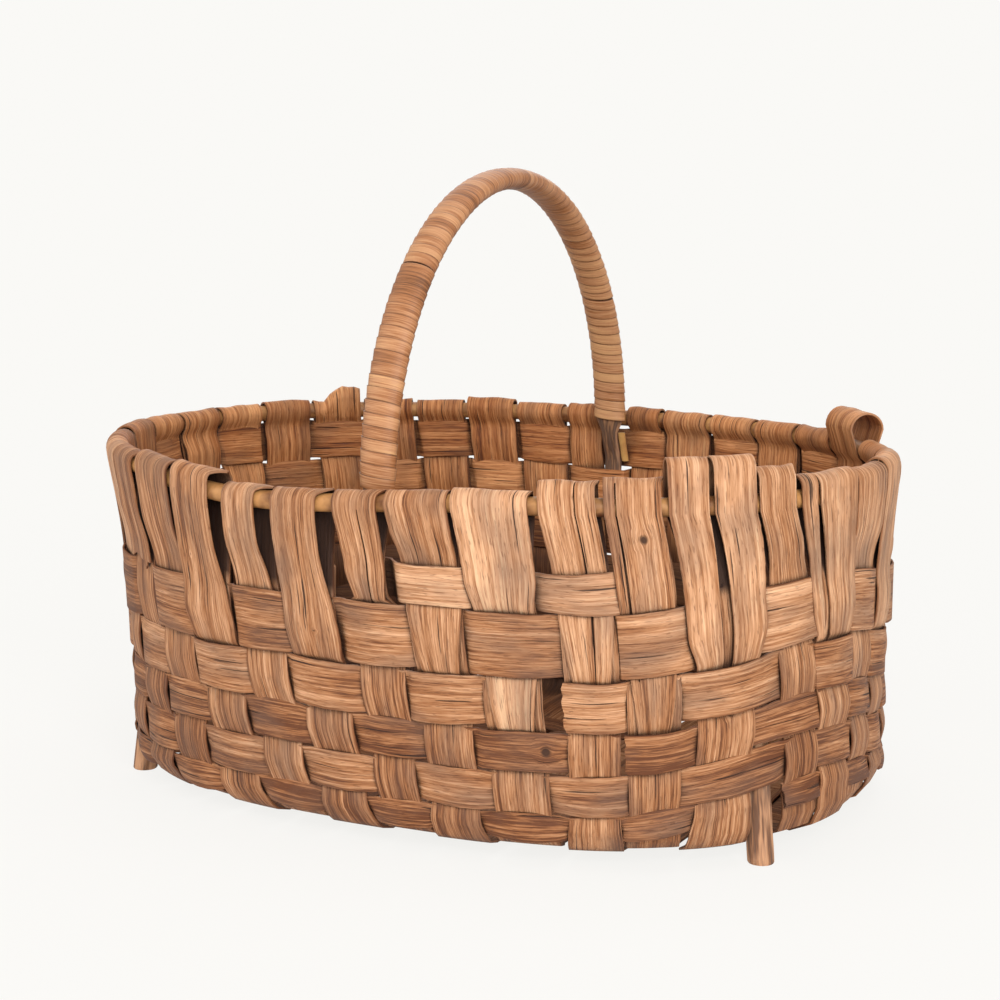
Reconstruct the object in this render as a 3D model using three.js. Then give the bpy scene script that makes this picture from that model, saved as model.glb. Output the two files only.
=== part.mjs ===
// Oval basket plaited from wide wood splints, with a wrapped hoop handle.
// Lengths are millimetres. +X is the long way, +Z is up, and the legs stand on Z = 0.
import * as THREE from 'three';

// Plan of the basket at the rim and at the base
const rimHalfLength = 266;
const rimHalfWidth = 191;
const baseHalfLength = 255;
const baseHalfWidth = 184;
const baseLeanX = 7;
// Roundness of both plans: 1 is an ellipse, and less is squarer
const rimRoundShare = 0.909;
const baseRoundShare = 0.8;
// Slope of the wall: 1 is straight, and less keeps it upright until nearer the rim
const flareShare = 0.333;

// Heights above the base
const rimHeight = 212;
const baseLift = 8.5;
const rimSag = 8;
const bottomRounding = 20;

// Splints
const splintThickness = 1.5;
const fitGap = 0.4;
const stakeTopWidth = 37;
const stakeFootWidth = 31;
const baseStripWidth = 33.5;
const footBend = 3.3;
const firstRowBottom = 10;
const rowGap = 2.6;
const rowRise = 16;
const weaverOverrun = 2;
const freeTailGap = 4.5;

// Rod that the stakes fold over
const rodRadius = 6;

// Handle
const handleX = 10;
const archRise = 182;
const coreHalfWidth = 10;
const coreHalfThickness = 5;
const legHalfWidth = 6.5;
const legHalfThickness = 3.2;
const handleLegDepth = 76;
const handleBendDrop = 9;
const handleBendLength = 22;
const wrapThickness = 1.4;
const wrapEdgeGap = 0.7;
const wrapClearance = 0.9;
const sideStickRadius = 2.6;

// Legs under the base
const legRadius = 8.5;
const legTopHeight = 96;
const legLean = 0.13;

// Loose stake top that stands up as a loop
const looseFoldRadius = 15;
const looseFoldRise = 15;

// Places round the rim, as shares of its length from the +X tip through +Y
const nearStakeShares = [
  0.612, 0.64, 0.671, 0.7, 0.728, 0.755, 0.781, 0.812, 0.8425, 0.868, 0.898, 0.9265, 0.9535, 0.985, 1.0125,
];
// Widths of the near stakes at the rim, as shares of the usual width there
const nearWidthShares = [1.02, 1.15, 1.27, 1, 1.14, 0.89, 1.09, 1.33, 1, 0.96, 1.42, 0.75, 1.32, 1.14, 0.98];
// How much of that difference is left down among the rows
const rowWidthKeepShare = 0.4;
// Width of the stake at the near handle foot, beside the short row that turns in behind that foot
const nearHandleWidthShare = 0.66;
const handleSpreadShare = 0.003;
const farHandleWidthShare = 0.7;
const stakeLeanShare = 0.013;
const leanCentreShare = 0.78;
const longSideSqueezeShare = 0.955;
const endSqueezeShare = 0.9;
const riseCentreShare = 0.95;
const riseReachShare = 0.11;
const sagCentreShare = 0.7;
const sagReachShare = 0.11;
// Heights of the seven rows as shares of the wall height, from the base up
const rowWidthShares = [0.07, 0.1075, 0.1075, 0.1355, 0.1776, 0.112, 0.0935];
// How far the near stake tops stand above the rod, as shares of the wall height
const topRiseShares = [0, 0.02, 0.02, 0, 0, 0, 0, 0, 0.03, 0.04, 0.1, 0.06, 0.03, 0.02, 0.02];
const farRiseShare = 0.04;
const tailPointShare = 0.45;

// Counts
const stakeCount = 36;
const crosswiseCount = 12;
const lengthwiseCount = 6;
const firstCrosswise = -1;
const foldSteps = 6;
const rodSides = 6;
const coreSides = 10;
const coreSteps = 34;
const wrapLoops = 24;
const wrapSteps = 18;
const legSides = 12;
const stickSides = 8;
const outlineSamples = 1440;

const up = new THREE.Vector3(0, 0, 1);
const layer = (splintThickness + fitGap) / 2;
const lerp = THREE.MathUtils.lerp;

// Outline of one level: point and outward normal at a share of its length
function makeOutline(halfLength, halfWidth, roundShare, shiftX) {
  const squareness = 2 / roundShare;
  const power = (value, exponent) => Math.sign(value) * Math.abs(value) ** exponent;
  const points = [];
  for (let i = 0; i <= outlineSamples; i++) {
    const angle = (i / outlineSamples) * 2 * Math.PI;
    const x = halfLength * power(Math.cos(angle), roundShare);
    const y = halfWidth * power(Math.sin(angle), roundShare);
    points.push(new THREE.Vector2(x, y));
  }
  const lengths = [0];
  for (let i = 1; i <= outlineSamples; i++) {
    lengths.push(lengths[i - 1] + points[i].distanceTo(points[i - 1]));
  }
  const total = lengths[outlineSamples];
  const at = (share) => {
    const along = (share - Math.floor(share)) * total;
    let low = 0;
    let high = outlineSamples;
    while (high - low > 1) {
      const middle = (low + high) >> 1;
      if (lengths[middle] <= along) low = middle;
      else high = middle;
    }
    const part = (along - lengths[low]) / (lengths[high] - lengths[low]);
    const point = points[low].clone().lerp(points[high], part);
    const nx = power(point.x / halfLength, squareness - 1) / halfLength;
    const ny = power(point.y / halfWidth, squareness - 1) / halfWidth;
    const normal = new THREE.Vector2(nx, ny).normalize();
    point.x += shiftX;
    return { point, normal };
  };
  return { at, total };
}

const rimOutline = makeOutline(rimHalfLength, rimHalfWidth, rimRoundShare, 0);
const baseOutline = makeOutline(baseHalfLength, baseHalfWidth, baseRoundShare, baseLeanX);

// The wall stands nearly upright and flares out close to the rim
const flareAt = (height) => (Math.max(height, 0) / rimHeight) ** (1 / flareShare);

// Middle surface of the wall at a share and a height, moved out along its normal
function wallPoint(share, height, outward) {
  const part = Math.max(height, 0) / rimHeight;
  const low = baseOutline.at(share);
  const high = rimOutline.at(share);
  const plan = low.point.lerp(high.point, flareAt(height));
  const flat = low.normal.lerp(high.normal, Math.min(part, 1)).normalize();
  let tilt = 0;
  let inset = 0;
  if (height < bottomRounding) {
    tilt = Math.asin((bottomRounding - Math.max(height, 0)) / bottomRounding);
    inset = bottomRounding * (1 - Math.cos(tilt));
  }
  const normal = new THREE.Vector3(flat.x * Math.cos(tilt), flat.y * Math.cos(tilt), -Math.sin(tilt));
  const point = new THREE.Vector3(plan.x - inset * flat.x, plan.y - inset * flat.y, height + baseLift);
  point.addScaledVector(normal, outward);
  return { point, normal };
}

// Vertical wall line above the rounding, used by what stands beside the wall
function uprightPoint(share, height, outward) {
  const part = THREE.MathUtils.clamp(height / rimHeight, 0, 1);
  const low = baseOutline.at(share);
  const high = rimOutline.at(share);
  const plan = low.point.lerp(high.point, flareAt(height));
  const flat = low.normal.lerp(high.normal, part).normalize();
  return new THREE.Vector3(plan.x + outward * flat.x, plan.y + outward * flat.y, height + baseLift);
}

// Rows, from the base up: 0 to 4 go all round, 5 and 6 only part of the way
const rowBottoms = [];
const rowTops = [];
for (const share of rowWidthShares) {
  const bottom = rowTops.length ? rowTops[rowTops.length - 1] + rowGap : firstRowBottom;
  rowBottoms.push(bottom);
  rowTops.push(bottom + share * rimHeight);
}
const shortRow = 5;
const topRow = 6;

// Smooth hump of a height round the rim: whole at its centre, nothing beyond its reach
function humpAt(share, centreShare, reachShare, height) {
  const turn = share - centreShare - Math.round(share - centreShare);
  if (Math.abs(turn) > reachShare) return 0;
  return (height * (1 + Math.cos((Math.PI * turn) / reachShare))) / 2;
}
const riseAt = (share) => humpAt(share, riseCentreShare, riseReachShare, rowRise);
const rimHeightAt = (share) => rimHeight - humpAt(share, sagCentreShare, sagReachShare, rimSag);

// Stakes are numbered round the rim; the first twelve pairs cross the base the short way
const wrapIndex = (k) => (k + stakeCount) % stakeCount;
const longSideLast = firstCrosswise + crosswiseCount - 1;
const farFirst = longSideLast + lengthwiseCount + 1;
const farLast = farFirst + crosswiseCount - 1;
const handleStake = 5;
const farHandleStake = 23;
const looseStake = 17;
const raisedStake = 28;
const freeTailStake = 0;

function rimShare(index) {
  const k = wrapIndex(index);
  const lastNear = nearStakeShares.length - 1;
  if (k <= lastNear) return nearStakeShares[k];
  const step = (nearStakeShares[0] + 1 - nearStakeShares[lastNear]) / (stakeCount - lastNear);
  let share = nearStakeShares[lastNear] + (k - lastNear) * step;
  if (k === farHandleStake) share += handleSpreadShare;
  if (k === farHandleStake - 1) share -= handleSpreadShare;
  return share;
}

function sideOf(index) {
  const k = wrapIndex(index);
  if (k > longSideLast && k < farFirst) return [longSideLast + 1, farFirst - 1, endSqueezeShare];
  if (k >= farFirst && k <= farLast) return [farFirst, farLast, longSideSqueezeShare];
  if (k > farLast && k < stakeCount + firstCrosswise) {
    return [farLast + 1, stakeCount + firstCrosswise - 1, endSqueezeShare];
  }
  return [firstCrosswise, longSideLast, longSideSqueezeShare];
}

function baseShare(index) {
  const [first, last, squeeze] = sideOf(index);
  const firstShare = rimShare(first) - (first < 0 ? 1 : 0);
  const middle = (firstShare + rimShare(last)) / 2;
  const own = rimShare(index) - (first < 0 && wrapIndex(index) > last ? 1 : 0);
  const lean = (stakeLeanShare * (1 + Math.cos(2 * Math.PI * (own - leanCentreShare)))) / 2;
  return middle + (own - middle) * squeeze + lean + (own === rimShare(index) ? 0 : 1);
}

const baseShares = Array.from({ length: stakeCount }, (_, k) => baseShare(k));
const rimShares = Array.from({ length: stakeCount }, (_, k) => rimShare(k));

function stakeEdgeShare(k, height, side) {
  const part = THREE.MathUtils.clamp(height / rimHeight, 0, 1);
  const middle = lerp(baseShares[k], rimShares[k], part);
  const topPart = (height - topOfRows(k)) / (rimHeight - topOfRows(k));
  const own = nearWidthShares[k] ?? 1;
  const besideShortRow = k === handleStake && height > rowTops[shortRow - 1];
  const rowShare = besideShortRow ? nearHandleWidthShare : lerp(1, own, rowWidthKeepShare);
  const ownShare = lerp(rowShare, own, THREE.MathUtils.clamp(topPart, 0, 1));
  const besideHandle = k === farHandleStake || k === farHandleStake - 1;
  const topWidth = stakeTopWidth * (besideHandle ? farHandleWidthShare : 1);
  const width = lerp(stakeFootWidth, topWidth, part) * ownShare;
  return middle + (side * width) / 2 / rimOutline.total;
}

// Which rows pass a stake, and on which side of it
const shortRowLast = 9;
const farShortRowFirst = 15;
const farShortRowLast = 33;
const topRowFirst = 16;
const topRowLast = 32;

function rowPasses(k, row) {
  if (row < shortRow) return true;
  if (row === topRow) return k >= topRowFirst && k <= topRowLast;
  const near = k >= handleStake && k <= shortRowLast;
  return near || (k >= farShortRowFirst && k <= farShortRowLast);
}

const stakeOutside = (k, row) => (k + row) % 2 === 0;

function topOfRows(k) {
  const passing = rowTops.filter((_, row) => rowPasses(k, row));
  return passing[passing.length - 1];
}

// Rows under which the folded tail of a stake is tucked, from the rim down
function tuckRows(k) {
  if (k === freeTailStake) return [];
  const rows = [];
  for (let row = topRow; row >= 0; row--) {
    if (rowPasses(k, row) && !stakeOutside(k, row)) rows.push(row);
  }
  const twice = k > handleStake && k <= shortRowLast;
  return rows.slice(0, twice ? 2 : 1);
}
const tucks = Array.from({ length: stakeCount }, (_, k) => tuckRows(k));

function weaverOffset(k, row) {
  if (stakeOutside(k, row)) return -layer;
  return tucks[k].includes(row) ? 3 * layer : layer;
}

// One corner of the patch where a row crosses a stake
function cellCorner(k, row, side, atTop, outward) {
  const plainHeight = atTop ? rowTops[row] : rowBottoms[row];
  const share = stakeEdgeShare(k, plainHeight, side);
  return wallPoint(share, plainHeight + riseAt(share), outward);
}

// A pair of points on the two faces of a splint
function facePair(place, facing, thickness) {
  const half = thickness / 2;
  return [
    place.clone().addScaledVector(facing, half),
    place.clone().addScaledVector(facing, -half),
  ];
}

// Closed body through a run of sections with the same number of corners
function sectionBody(sections, closed) {
  const sides = sections[0].length;
  const positions = sections.flat().flatMap((corner) => [corner.x, corner.y, corner.z]);
  const triangles = [];
  const last = closed ? sections.length : sections.length - 1;
  for (let i = 0; i < last; i++) {
    const here = i * sides;
    const next = ((i + 1) % sections.length) * sides;
    for (let j = 0; j < sides; j++) {
      const k = (j + 1) % sides;
      triangles.push([here + j, here + k, next + k], [here + j, next + k, next + j]);
    }
  }
  if (!closed) {
    const end = (sections.length - 1) * sides;
    for (let j = 1; j < sides - 1; j++) {
      triangles.push([0, j + 1, j], [end, end + j, end + j + 1]);
    }
  }
  const corner = (index) => new THREE.Vector3().fromArray(positions, index * 3);
  const volume = triangles.reduce(
    (sum, [a, b, c]) => sum + corner(a).dot(corner(b).cross(corner(c))),
    0,
  );
  const index = triangles.flatMap(([a, b, c]) => (volume > 0 ? [a, b, c] : [a, c, b]));
  const body = new THREE.BufferGeometry();
  body.setAttribute('position', new THREE.Float32BufferAttribute(positions, 3));
  body.setIndex(index);
  body.computeVertexNormals();
  return body;
}

// Section of a splint across its width, from the face pairs of its two edges
const flatSection = ([leftOut, leftIn], [rightOut, rightIn]) => [leftOut, rightOut, rightIn, leftIn];

const basket = new THREE.Group();
basket.name = 'woven_basket';

function addPiece(name, body, colour, roughness) {
  const material = new THREE.MeshStandardMaterial({ color: colour, roughness, metalness: 0 });
  material.name = `${name}_wood`;
  const piece = new THREE.Mesh(body, material);
  piece.name = name;
  basket.add(piece);
}

// Stake sections from the end of its tail, over the rod and down to the base
const closeRadius = rodRadius + fitGap + splintThickness / 2;

function foldSizes(k) {
  if (k === looseStake) return { radius: looseFoldRadius, rise: looseFoldRise };
  const riseShare = k === raisedStake ? farRiseShare : (topRiseShares[k] ?? 0);
  return { radius: closeRadius, rise: riseShare * rimHeight };
}

function wallSections(k, handed) {
  const sections = [];
  const edges = [-handed, handed];
  const addLine = (placeEdge, facingTurn) => {
    const pairs = edges.map((side) => {
      const { point, normal } = placeEdge(side);
      const facing = normal.clone().multiplyScalar(Math.cos(facingTurn));
      facing.addScaledVector(up, -Math.sin(facingTurn));
      return facePair(point, facing, splintThickness);
    });
    sections.push(flatSection(pairs[0], pairs[1]));
  };
  const narrowed = (placeEdge, share) => (side) => {
    const own = placeEdge(side);
    const other = placeEdge(-side);
    return { point: own.point.lerp(other.point, (1 - share) / 2), normal: own.normal };
  };

  // Tail outside, from its tucked end up to the rod
  if (k === freeTailStake) {
    const end = topOfRows(k) + freeTailGap;
    addLine((side) => wallPoint(stakeEdgeShare(k, end, side), end, 3 * layer), Math.PI);
  }
  const lastTuck = tucks[k].length ? tucks[k][tucks[k].length - 1] : topRow + 1;
  const pointed = tucks[k].length > 1;
  for (let row = lastTuck; row <= topRow; row++) {
    if (!rowPasses(k, row)) continue;
    const tucked = tucks[k].includes(row);
    const outward = tucked ? layer : 3 * layer;
    for (const atTop of [false, true]) {
      const height = atTop ? rowTops[row] : rowBottoms[row];
      const part = (height - rowBottoms[lastTuck]) / (rimHeight - rowBottoms[lastTuck]);
      const share = pointed ? lerp(tailPointShare, 1, Math.min(2 * part, 1)) : 1;
      addLine(narrowed((side) => cellCorner(k, row, side, atTop, outward), share), Math.PI);
    }
  }

  // Fold over the rod
  const { radius, rise } = foldSizes(k);
  const foldPlace = (outward, above) => (side) => {
    const share = stakeEdgeShare(k, rimHeight, side);
    const spot = wallPoint(share, rimHeight, outward);
    spot.point.z = rimHeightAt(share) + above + baseLift;
    return spot;
  };
  const needsBesideRod = rise > 0 || rowPasses(k, topRow);
  if (needsBesideRod) addLine(foldPlace(closeRadius, -rodRadius / 2), Math.PI);
  for (let i = foldSteps; i >= 0; i--) {
    const angle = (i / foldSteps) * Math.PI;
    addLine(foldPlace(-radius * Math.cos(angle), rise + radius * Math.sin(angle)), angle);
  }
  if (needsBesideRod) addLine(foldPlace(-closeRadius, -rodRadius / 2), 0);

  // Stake inside and outside the rows, down to the rounding
  for (let row = topRow; row >= 0; row--) {
    if (!rowPasses(k, row)) continue;
    const outward = stakeOutside(k, row) ? layer : -layer;
    for (const atTop of [true, false]) {
      addLine((side) => cellCorner(k, row, side, atTop, outward), 0);
    }
  }
  const footOutward = stakeOutside(k, 0) ? layer : -layer;
  for (const height of [footBend, 0]) {
    addLine((side) => wallPoint(stakeEdgeShare(k, height, side), height, footOutward), 0);
  }
  return sections;
}

// Base lattice: the strips run straight between the feet of their two stakes
const crosswise = [];
for (let i = 0; i < crosswiseCount; i++) {
  crosswise.push([wrapIndex(firstCrosswise + i), farLast - i]);
}
const lengthwise = [];
for (let i = 0; i < lengthwiseCount; i++) {
  lengthwise.push([longSideLast + 1 + i, stakeCount + firstCrosswise - 1 - i]);
}

function stripEdge([from, to], side) {
  const reach = (side * baseStripWidth) / 2 / rimOutline.total;
  const start = wallPoint(baseShares[from] + reach, 0, 0).point;
  const end = wallPoint(baseShares[to] - reach, 0, 0).point;
  return [start, end];
}

function meet([a, b], [c, d]) {
  const ab = b.clone().sub(a);
  const cd = d.clone().sub(c);
  const ac = c.clone().sub(a);
  const part = (ac.x * cd.y - ac.y * cd.x) / (ab.x * cd.y - ab.y * cd.x);
  return a.clone().addScaledVector(ab, part);
}

function baseSections(strip, crossing, crossesOutside) {
  const sections = [];
  const down = up.clone().negate();
  for (const other of crossing) {
    const outside = crossesOutside(other);
    for (const otherSide of [-1, 1]) {
      const pairs = [-1, 1].map((side) => {
        const spot = meet(stripEdge(strip, side), stripEdge(other, otherSide));
        spot.addScaledVector(down, outside ? layer : -layer);
        return facePair(spot, down, splintThickness);
      });
      sections.push(flatSection(pairs[0], pairs[1]));
    }
  }
  return sections;
}

const splintColours = [0x8a6344, 0x7d5a3f, 0x966d4b, 0x85603f, 0x7a583e, 0x9a7250];

function addSplints() {
  crosswise.forEach((strip, i) => {
    const crossing = lengthwise;
    const middle = baseSections(strip, crossing, (other) => (strip[0] + other[0]) % 2 === 0);
    const start = wallSections(strip[0], 1);
    const end = wallSections(strip[1], -1).reverse();
    const name = `crosswise_splint_${String(i + 1).padStart(2, '0')}`;
    const colour = splintColours[i % splintColours.length];
    addPiece(name, sectionBody([...start, ...middle, ...end], false), colour, 0.78);
  });
  lengthwise.forEach((strip, i) => {
    const crossing = [...crosswise].reverse().map(([near, far]) => [far, near]);
    const middle = baseSections(strip, crossing, (other) => (strip[0] + other[1]) % 2 === 1);
    const start = wallSections(strip[0], 1);
    const end = wallSections(strip[1], -1).reverse();
    const name = `lengthwise_splint_${String(i + 1).padStart(2, '0')}`;
    addPiece(name, sectionBody([...start, ...middle, ...end], false), splintColours[i], 0.78);
  });
}

// Weavers: one section at each stake edge, flat across each stake
function weaverSection(low, high) {
  return flatSection(
    facePair(low.point, low.normal, splintThickness),
    facePair(high.point, high.normal, splintThickness),
  );
}

function edgeSection(k, row, side) {
  const outward = weaverOffset(k, row);
  return weaverSection(
    cellCorner(k, row, side, false, outward),
    cellCorner(k, row, side, true, outward),
  );
}

function freeSection(share, row, outward) {
  const bottom = rowBottoms[row] + riseAt(share);
  const top = rowTops[row] + riseAt(share);
  return weaverSection(wallPoint(share, bottom, outward), wallPoint(share, top, outward));
}

// Detours of the short rows round the handle feet, and of row 1 round the legs
const handleSeat = splintThickness / 2 + layer + fitGap + legHalfThickness;
const handlePass = handleSeat + legHalfThickness + fitGap + splintThickness / 2;
const handlePassShare = (legHalfWidth + fitGap) / rimOutline.total;
const nearHandleShare = 0.75 + handleX / rimOutline.total;
const farHandleShare = 0.25 - handleX / rimOutline.total;

const cornerAfter = [longSideLast, farFirst - 1, farLast, stakeCount + firstCrosswise - 1];
const cornerShare = (k) => {
  const next = baseShares[wrapIndex(k + 1)];
  return (baseShares[k] + (next < baseShares[k] ? next + 1 : next)) / 2;
};
const legRow = 1;

// Stakes at which rows 1 to 4 begin and end
const rowStartStakes = [26, 9, 8, 25];

// A whole row: it begins on one stake and ends beside it on the stake before
function ringSections(row, startStake) {
  const sections = [];
  for (let i = 0; i < stakeCount; i++) {
    const k = wrapIndex(startStake + i);
    const before = wrapIndex(k - 1);
    if (i > 0 && row === legRow && cornerAfter.includes(before)) sections.push(...legDetour(before));
    sections.push(edgeSection(k, row, -1), edgeSection(k, row, 1));
  }
  return sections;
}

function legDetour(k) {
  const reach = legRadius / 2 / rimOutline.total;
  const middle = cornerShare(k);
  return [-reach, reach].map((step) => freeSection(middle + step, legRow, layer));
}

function rowRun(row, first, last) {
  const sections = [];
  for (let k = first; k <= last; k++) {
    if (row === shortRow && k === farHandleStake) {
      sections.push(...handleDetour(farHandleShare, row), edgeSection(k, row, 1));
      continue;
    }
    sections.push(edgeSection(k, row, -1), edgeSection(k, row, 1));
  }
  return sections;
}

function handleDetour(share, row) {
  return [-1, 1].map((side) => freeSection(share + side * handlePassShare, row, -handlePass));
}

function addWeavers() {
  const rowColours = [0x7c5a3e, 0x876043, 0x92694a, 0x8b6446, 0x80593c, 0x8f6a49, 0x78563c];
  const sides = [
    ['near', firstCrosswise, longSideLast],
    ['right', longSideLast + 1, farFirst - 1],
    ['far', farFirst, farLast],
    ['left', farLast + 1, stakeCount + firstCrosswise - 1],
  ];
  for (const [side, first, last] of sides) {
    const sections = [];
    const overrun = weaverOverrun / rimOutline.total;
    const from = wrapIndex(first);
    const outFrom = weaverOffset(from, 0);
    const outTo = weaverOffset(last, 0);
    sections.push(freeSection(stakeEdgeShare(from, rowBottoms[0], -1) - overrun, 0, outFrom));
    for (let k = first; k <= last; k++) {
      sections.push(edgeSection(wrapIndex(k), 0, -1), edgeSection(wrapIndex(k), 0, 1));
    }
    sections.push(freeSection(stakeEdgeShare(last, rowBottoms[0], 1) + overrun, 0, outTo));
    addPiece(`weaver_row_1_${side}`, sectionBody(sections, false), rowColours[0], 0.8);
  }
  for (let row = 1; row < shortRow; row++) {
    const sections = ringSections(row, rowStartStakes[row - 1]);
    addPiece(`weaver_row_${row + 1}`, sectionBody(sections, false), rowColours[row], 0.8);
  }
  const near = [
    ...handleDetour(nearHandleShare, shortRow),
    ...rowRun(shortRow, handleStake + 1, shortRowLast),
  ];
  addPiece('weaver_row_6_near', sectionBody(near, false), rowColours[5], 0.8);
  const far = rowRun(shortRow, farShortRowFirst, farShortRowLast);
  addPiece('weaver_row_6_far', sectionBody(far, false), rowColours[5], 0.8);
  const top = rowRun(topRow, topRowFirst, topRowLast);
  addPiece('weaver_row_7_far', sectionBody(top, false), rowColours[6], 0.8);
}

// Rim rod, with a section at each stake edge
function addRimRod() {
  const sections = [];
  for (let k = 0; k < stakeCount; k++) {
    for (const side of [-1, 1]) {
      const share = stakeEdgeShare(k, rimHeight, side);
      const { point, normal } = wallPoint(share, rimHeight, 0);
      point.z = rimHeightAt(share) + baseLift;
      const section = [];
      for (let i = 0; i < rodSides; i++) {
        const angle = ((i + 0.5) / rodSides) * 2 * Math.PI;
        const corner = point.clone().addScaledVector(normal, rodRadius * Math.cos(angle));
        section.push(corner.addScaledVector(up, rodRadius * Math.sin(angle)));
      }
      sections.push(section);
    }
  }
  addPiece('rim_rod', sectionBody(sections, true), 0xc08a50, 0.6);
}

// Handle: half ellipse above the rim, then both feet bend out and down along the wall
const wrapHalfThickness = coreHalfThickness + wrapClearance + wrapThickness;
const foldInset = rodRadius + fitGap + splintThickness;
const archHalfSpan = rimHalfWidth - foldInset - fitGap - wrapHalfThickness;
const archCentre = new THREE.Vector3(handleX, 0, rimHeight + baseLift);

function archAt(angle) {
  const y = -archHalfSpan * Math.cos(angle);
  const z = archRise * Math.sin(angle);
  const point = archCentre.clone().add(new THREE.Vector3(0, y, z));
  const across = new THREE.Vector3(0, archHalfSpan * Math.sin(angle), archRise * Math.cos(angle));
  const tangent = across.normalize();
  const outward = new THREE.Vector3(0, -tangent.z, tangent.y);
  return { point, tangent, outward };
}

function ovalSection({ point, outward }, halfWidth, halfThickness, sides) {
  const section = [];
  for (let i = 0; i < sides; i++) {
    const angle = (i / sides) * 2 * Math.PI;
    const corner = point.clone().addScaledVector(outward, halfThickness * Math.sin(angle));
    corner.x += halfWidth * Math.cos(angle);
    section.push(corner);
  }
  return section;
}

const wallYAt = (height) => lerp(baseHalfWidth, rimHalfWidth, flareAt(height));

function footPoint(side, drop, seated) {
  const height = rimHeight - drop;
  const y = seated ? wallYAt(height) - handleSeat : archHalfSpan;
  return {
    point: new THREE.Vector3(handleX, side * y, height + baseLift),
    outward: new THREE.Vector3(0, side, 0),
  };
}

function addHandleCore() {
  const bendEnd = handleBendDrop + handleBendLength;
  const foot = (side) => [
    ovalSection(footPoint(side, handleLegDepth, true), legHalfWidth, legHalfThickness, coreSides),
    ovalSection(footPoint(side, bendEnd, true), legHalfWidth, legHalfThickness, coreSides),
    ovalSection(footPoint(side, handleBendDrop, false), legHalfWidth, legHalfThickness, coreSides),
  ];
  const sections = foot(-1);
  for (let i = 0; i <= coreSteps; i++) {
    const spot = archAt((i / coreSteps) * Math.PI);
    sections.push(ovalSection(spot, coreHalfWidth, coreHalfThickness, coreSides));
  }
  sections.push(...foot(1).reverse());
  addPiece('handle_core', sectionBody(sections, false), 0x5a4230, 0.8);
}

// Winding of one long splint round the handle
function archLengths() {
  const samples = outlineSamples;
  const pointAt = (i) => archAt((i / samples) * Math.PI).point;
  const lengths = [0];
  for (let i = 1; i <= samples; i++) {
    lengths.push(lengths[i - 1] + pointAt(i).distanceTo(pointAt(i - 1)));
  }
  const total = lengths[samples];
  const angleAt = (along) => {
    const found = lengths.findIndex((value) => value >= along);
    const high = found < 1 ? (found < 0 ? samples : 1) : found;
    const part = (along - lengths[high - 1]) / (lengths[high] - lengths[high - 1]);
    return ((high - 1 + part) / samples) * Math.PI;
  };
  return { total, angleAt };
}

function addHandleWrap() {
  const { total, angleAt } = archLengths();
  const pitch = total / (wrapLoops + 1);
  const tightest = (archHalfSpan ** 2 / archRise - wrapHalfThickness) / (archHalfSpan ** 2 / archRise);
  const width = pitch * tightest - wrapEdgeGap;
  const midWidth = coreHalfWidth + wrapClearance + wrapThickness / 2;
  const midThickness = coreHalfThickness + wrapClearance + wrapThickness / 2;
  const sections = [];
  for (let i = 0; i <= wrapLoops * wrapSteps; i++) {
    const along = pitch * (0.5 + i / wrapSteps);
    const { point, tangent, outward } = archAt(angleAt(along));
    const turn = (i / wrapSteps) * 2 * Math.PI;
    const place = point.clone().addScaledVector(outward, midThickness * Math.sin(turn));
    place.x += midWidth * Math.cos(turn);
    const facing = new THREE.Vector3(Math.cos(turn) / midWidth, 0, 0);
    facing.addScaledVector(outward, Math.sin(turn) / midThickness).normalize();
    const edge = (side) => place.clone().addScaledVector(tangent, (side * width) / 2);
    const low = facePair(edge(-1), facing, wrapThickness);
    const high = facePair(edge(1), facing, wrapThickness);
    sections.push(flatSection(low, high));
  }
  let leastGap = Infinity;
  for (let i = 0; i + wrapSteps < sections.length; i++) {
    const here = sections[i];
    for (let j = i + wrapSteps - 1; j <= i + wrapSteps + 1 && j < sections.length; j++) {
      leastGap = Math.min(leastGap, segmentGap(here[1], here[2], sections[j][0], sections[j][3]));
    }
  }
  console.log(`handle wrap: least gap to itself ${leastGap.toFixed(2)} mm`);
  addPiece('handle_wrap', sectionBody(sections, false), 0x8a6545, 0.7);
}

function segmentGap(a, b, c, d) {
  let least = Infinity;
  for (let i = 0; i <= 4; i++) {
    for (let j = 0; j <= 4; j++) {
      const first = a.clone().lerp(b, i / 4);
      least = Math.min(least, first.distanceTo(c.clone().lerp(d, j / 4)));
    }
  }
  return least;
}

// Round legs: sloping sticks with level ends, inside the rows at the four corners
function addLegs() {
  const names = ['leg_near_right', 'leg_far_right', 'leg_far_left', 'leg_near_left'];
  cornerAfter.forEach((k, i) => {
    const share = cornerShare(k);
    const seatHeight = rowBottoms[legRow] + riseAt(share);
    const seat = layer - splintThickness / 2 - fitGap - legRadius;
    const axisAt = (height) => uprightPoint(share, height, seat - (height - seatHeight) * legLean);
    const sections = [-baseLift, legTopHeight].map((height) => {
      const centre = axisAt(height);
      const section = [];
      for (let j = 0; j < legSides; j++) {
        const angle = (j / legSides) * 2 * Math.PI;
        const x = legRadius * Math.cos(angle);
        const y = legRadius * Math.sin(angle);
        section.push(centre.clone().add(new THREE.Vector3(x, y, 0)));
      }
      return section;
    });
    addPiece(names[i], sectionBody(sections, false), 0x8c7a66, 0.85);
  });
}

// Thin second stick beside the far foot of the handle
function addSideStick() {
  const bendEnd = handleBendDrop + handleBendLength;
  const shift = legHalfWidth + fitGap + sideStickRadius;
  const spots = [
    footPoint(1, bendEnd, true),
    footPoint(1, handleBendDrop, false),
  ];
  const sections = spots.map((spot) => {
    spot.point.x += shift;
    return ovalSection(spot, sideStickRadius, sideStickRadius, stickSides);
  });
  addPiece('handle_side_stick', sectionBody(sections, false), 0xc9a25e, 0.6);
}

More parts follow.
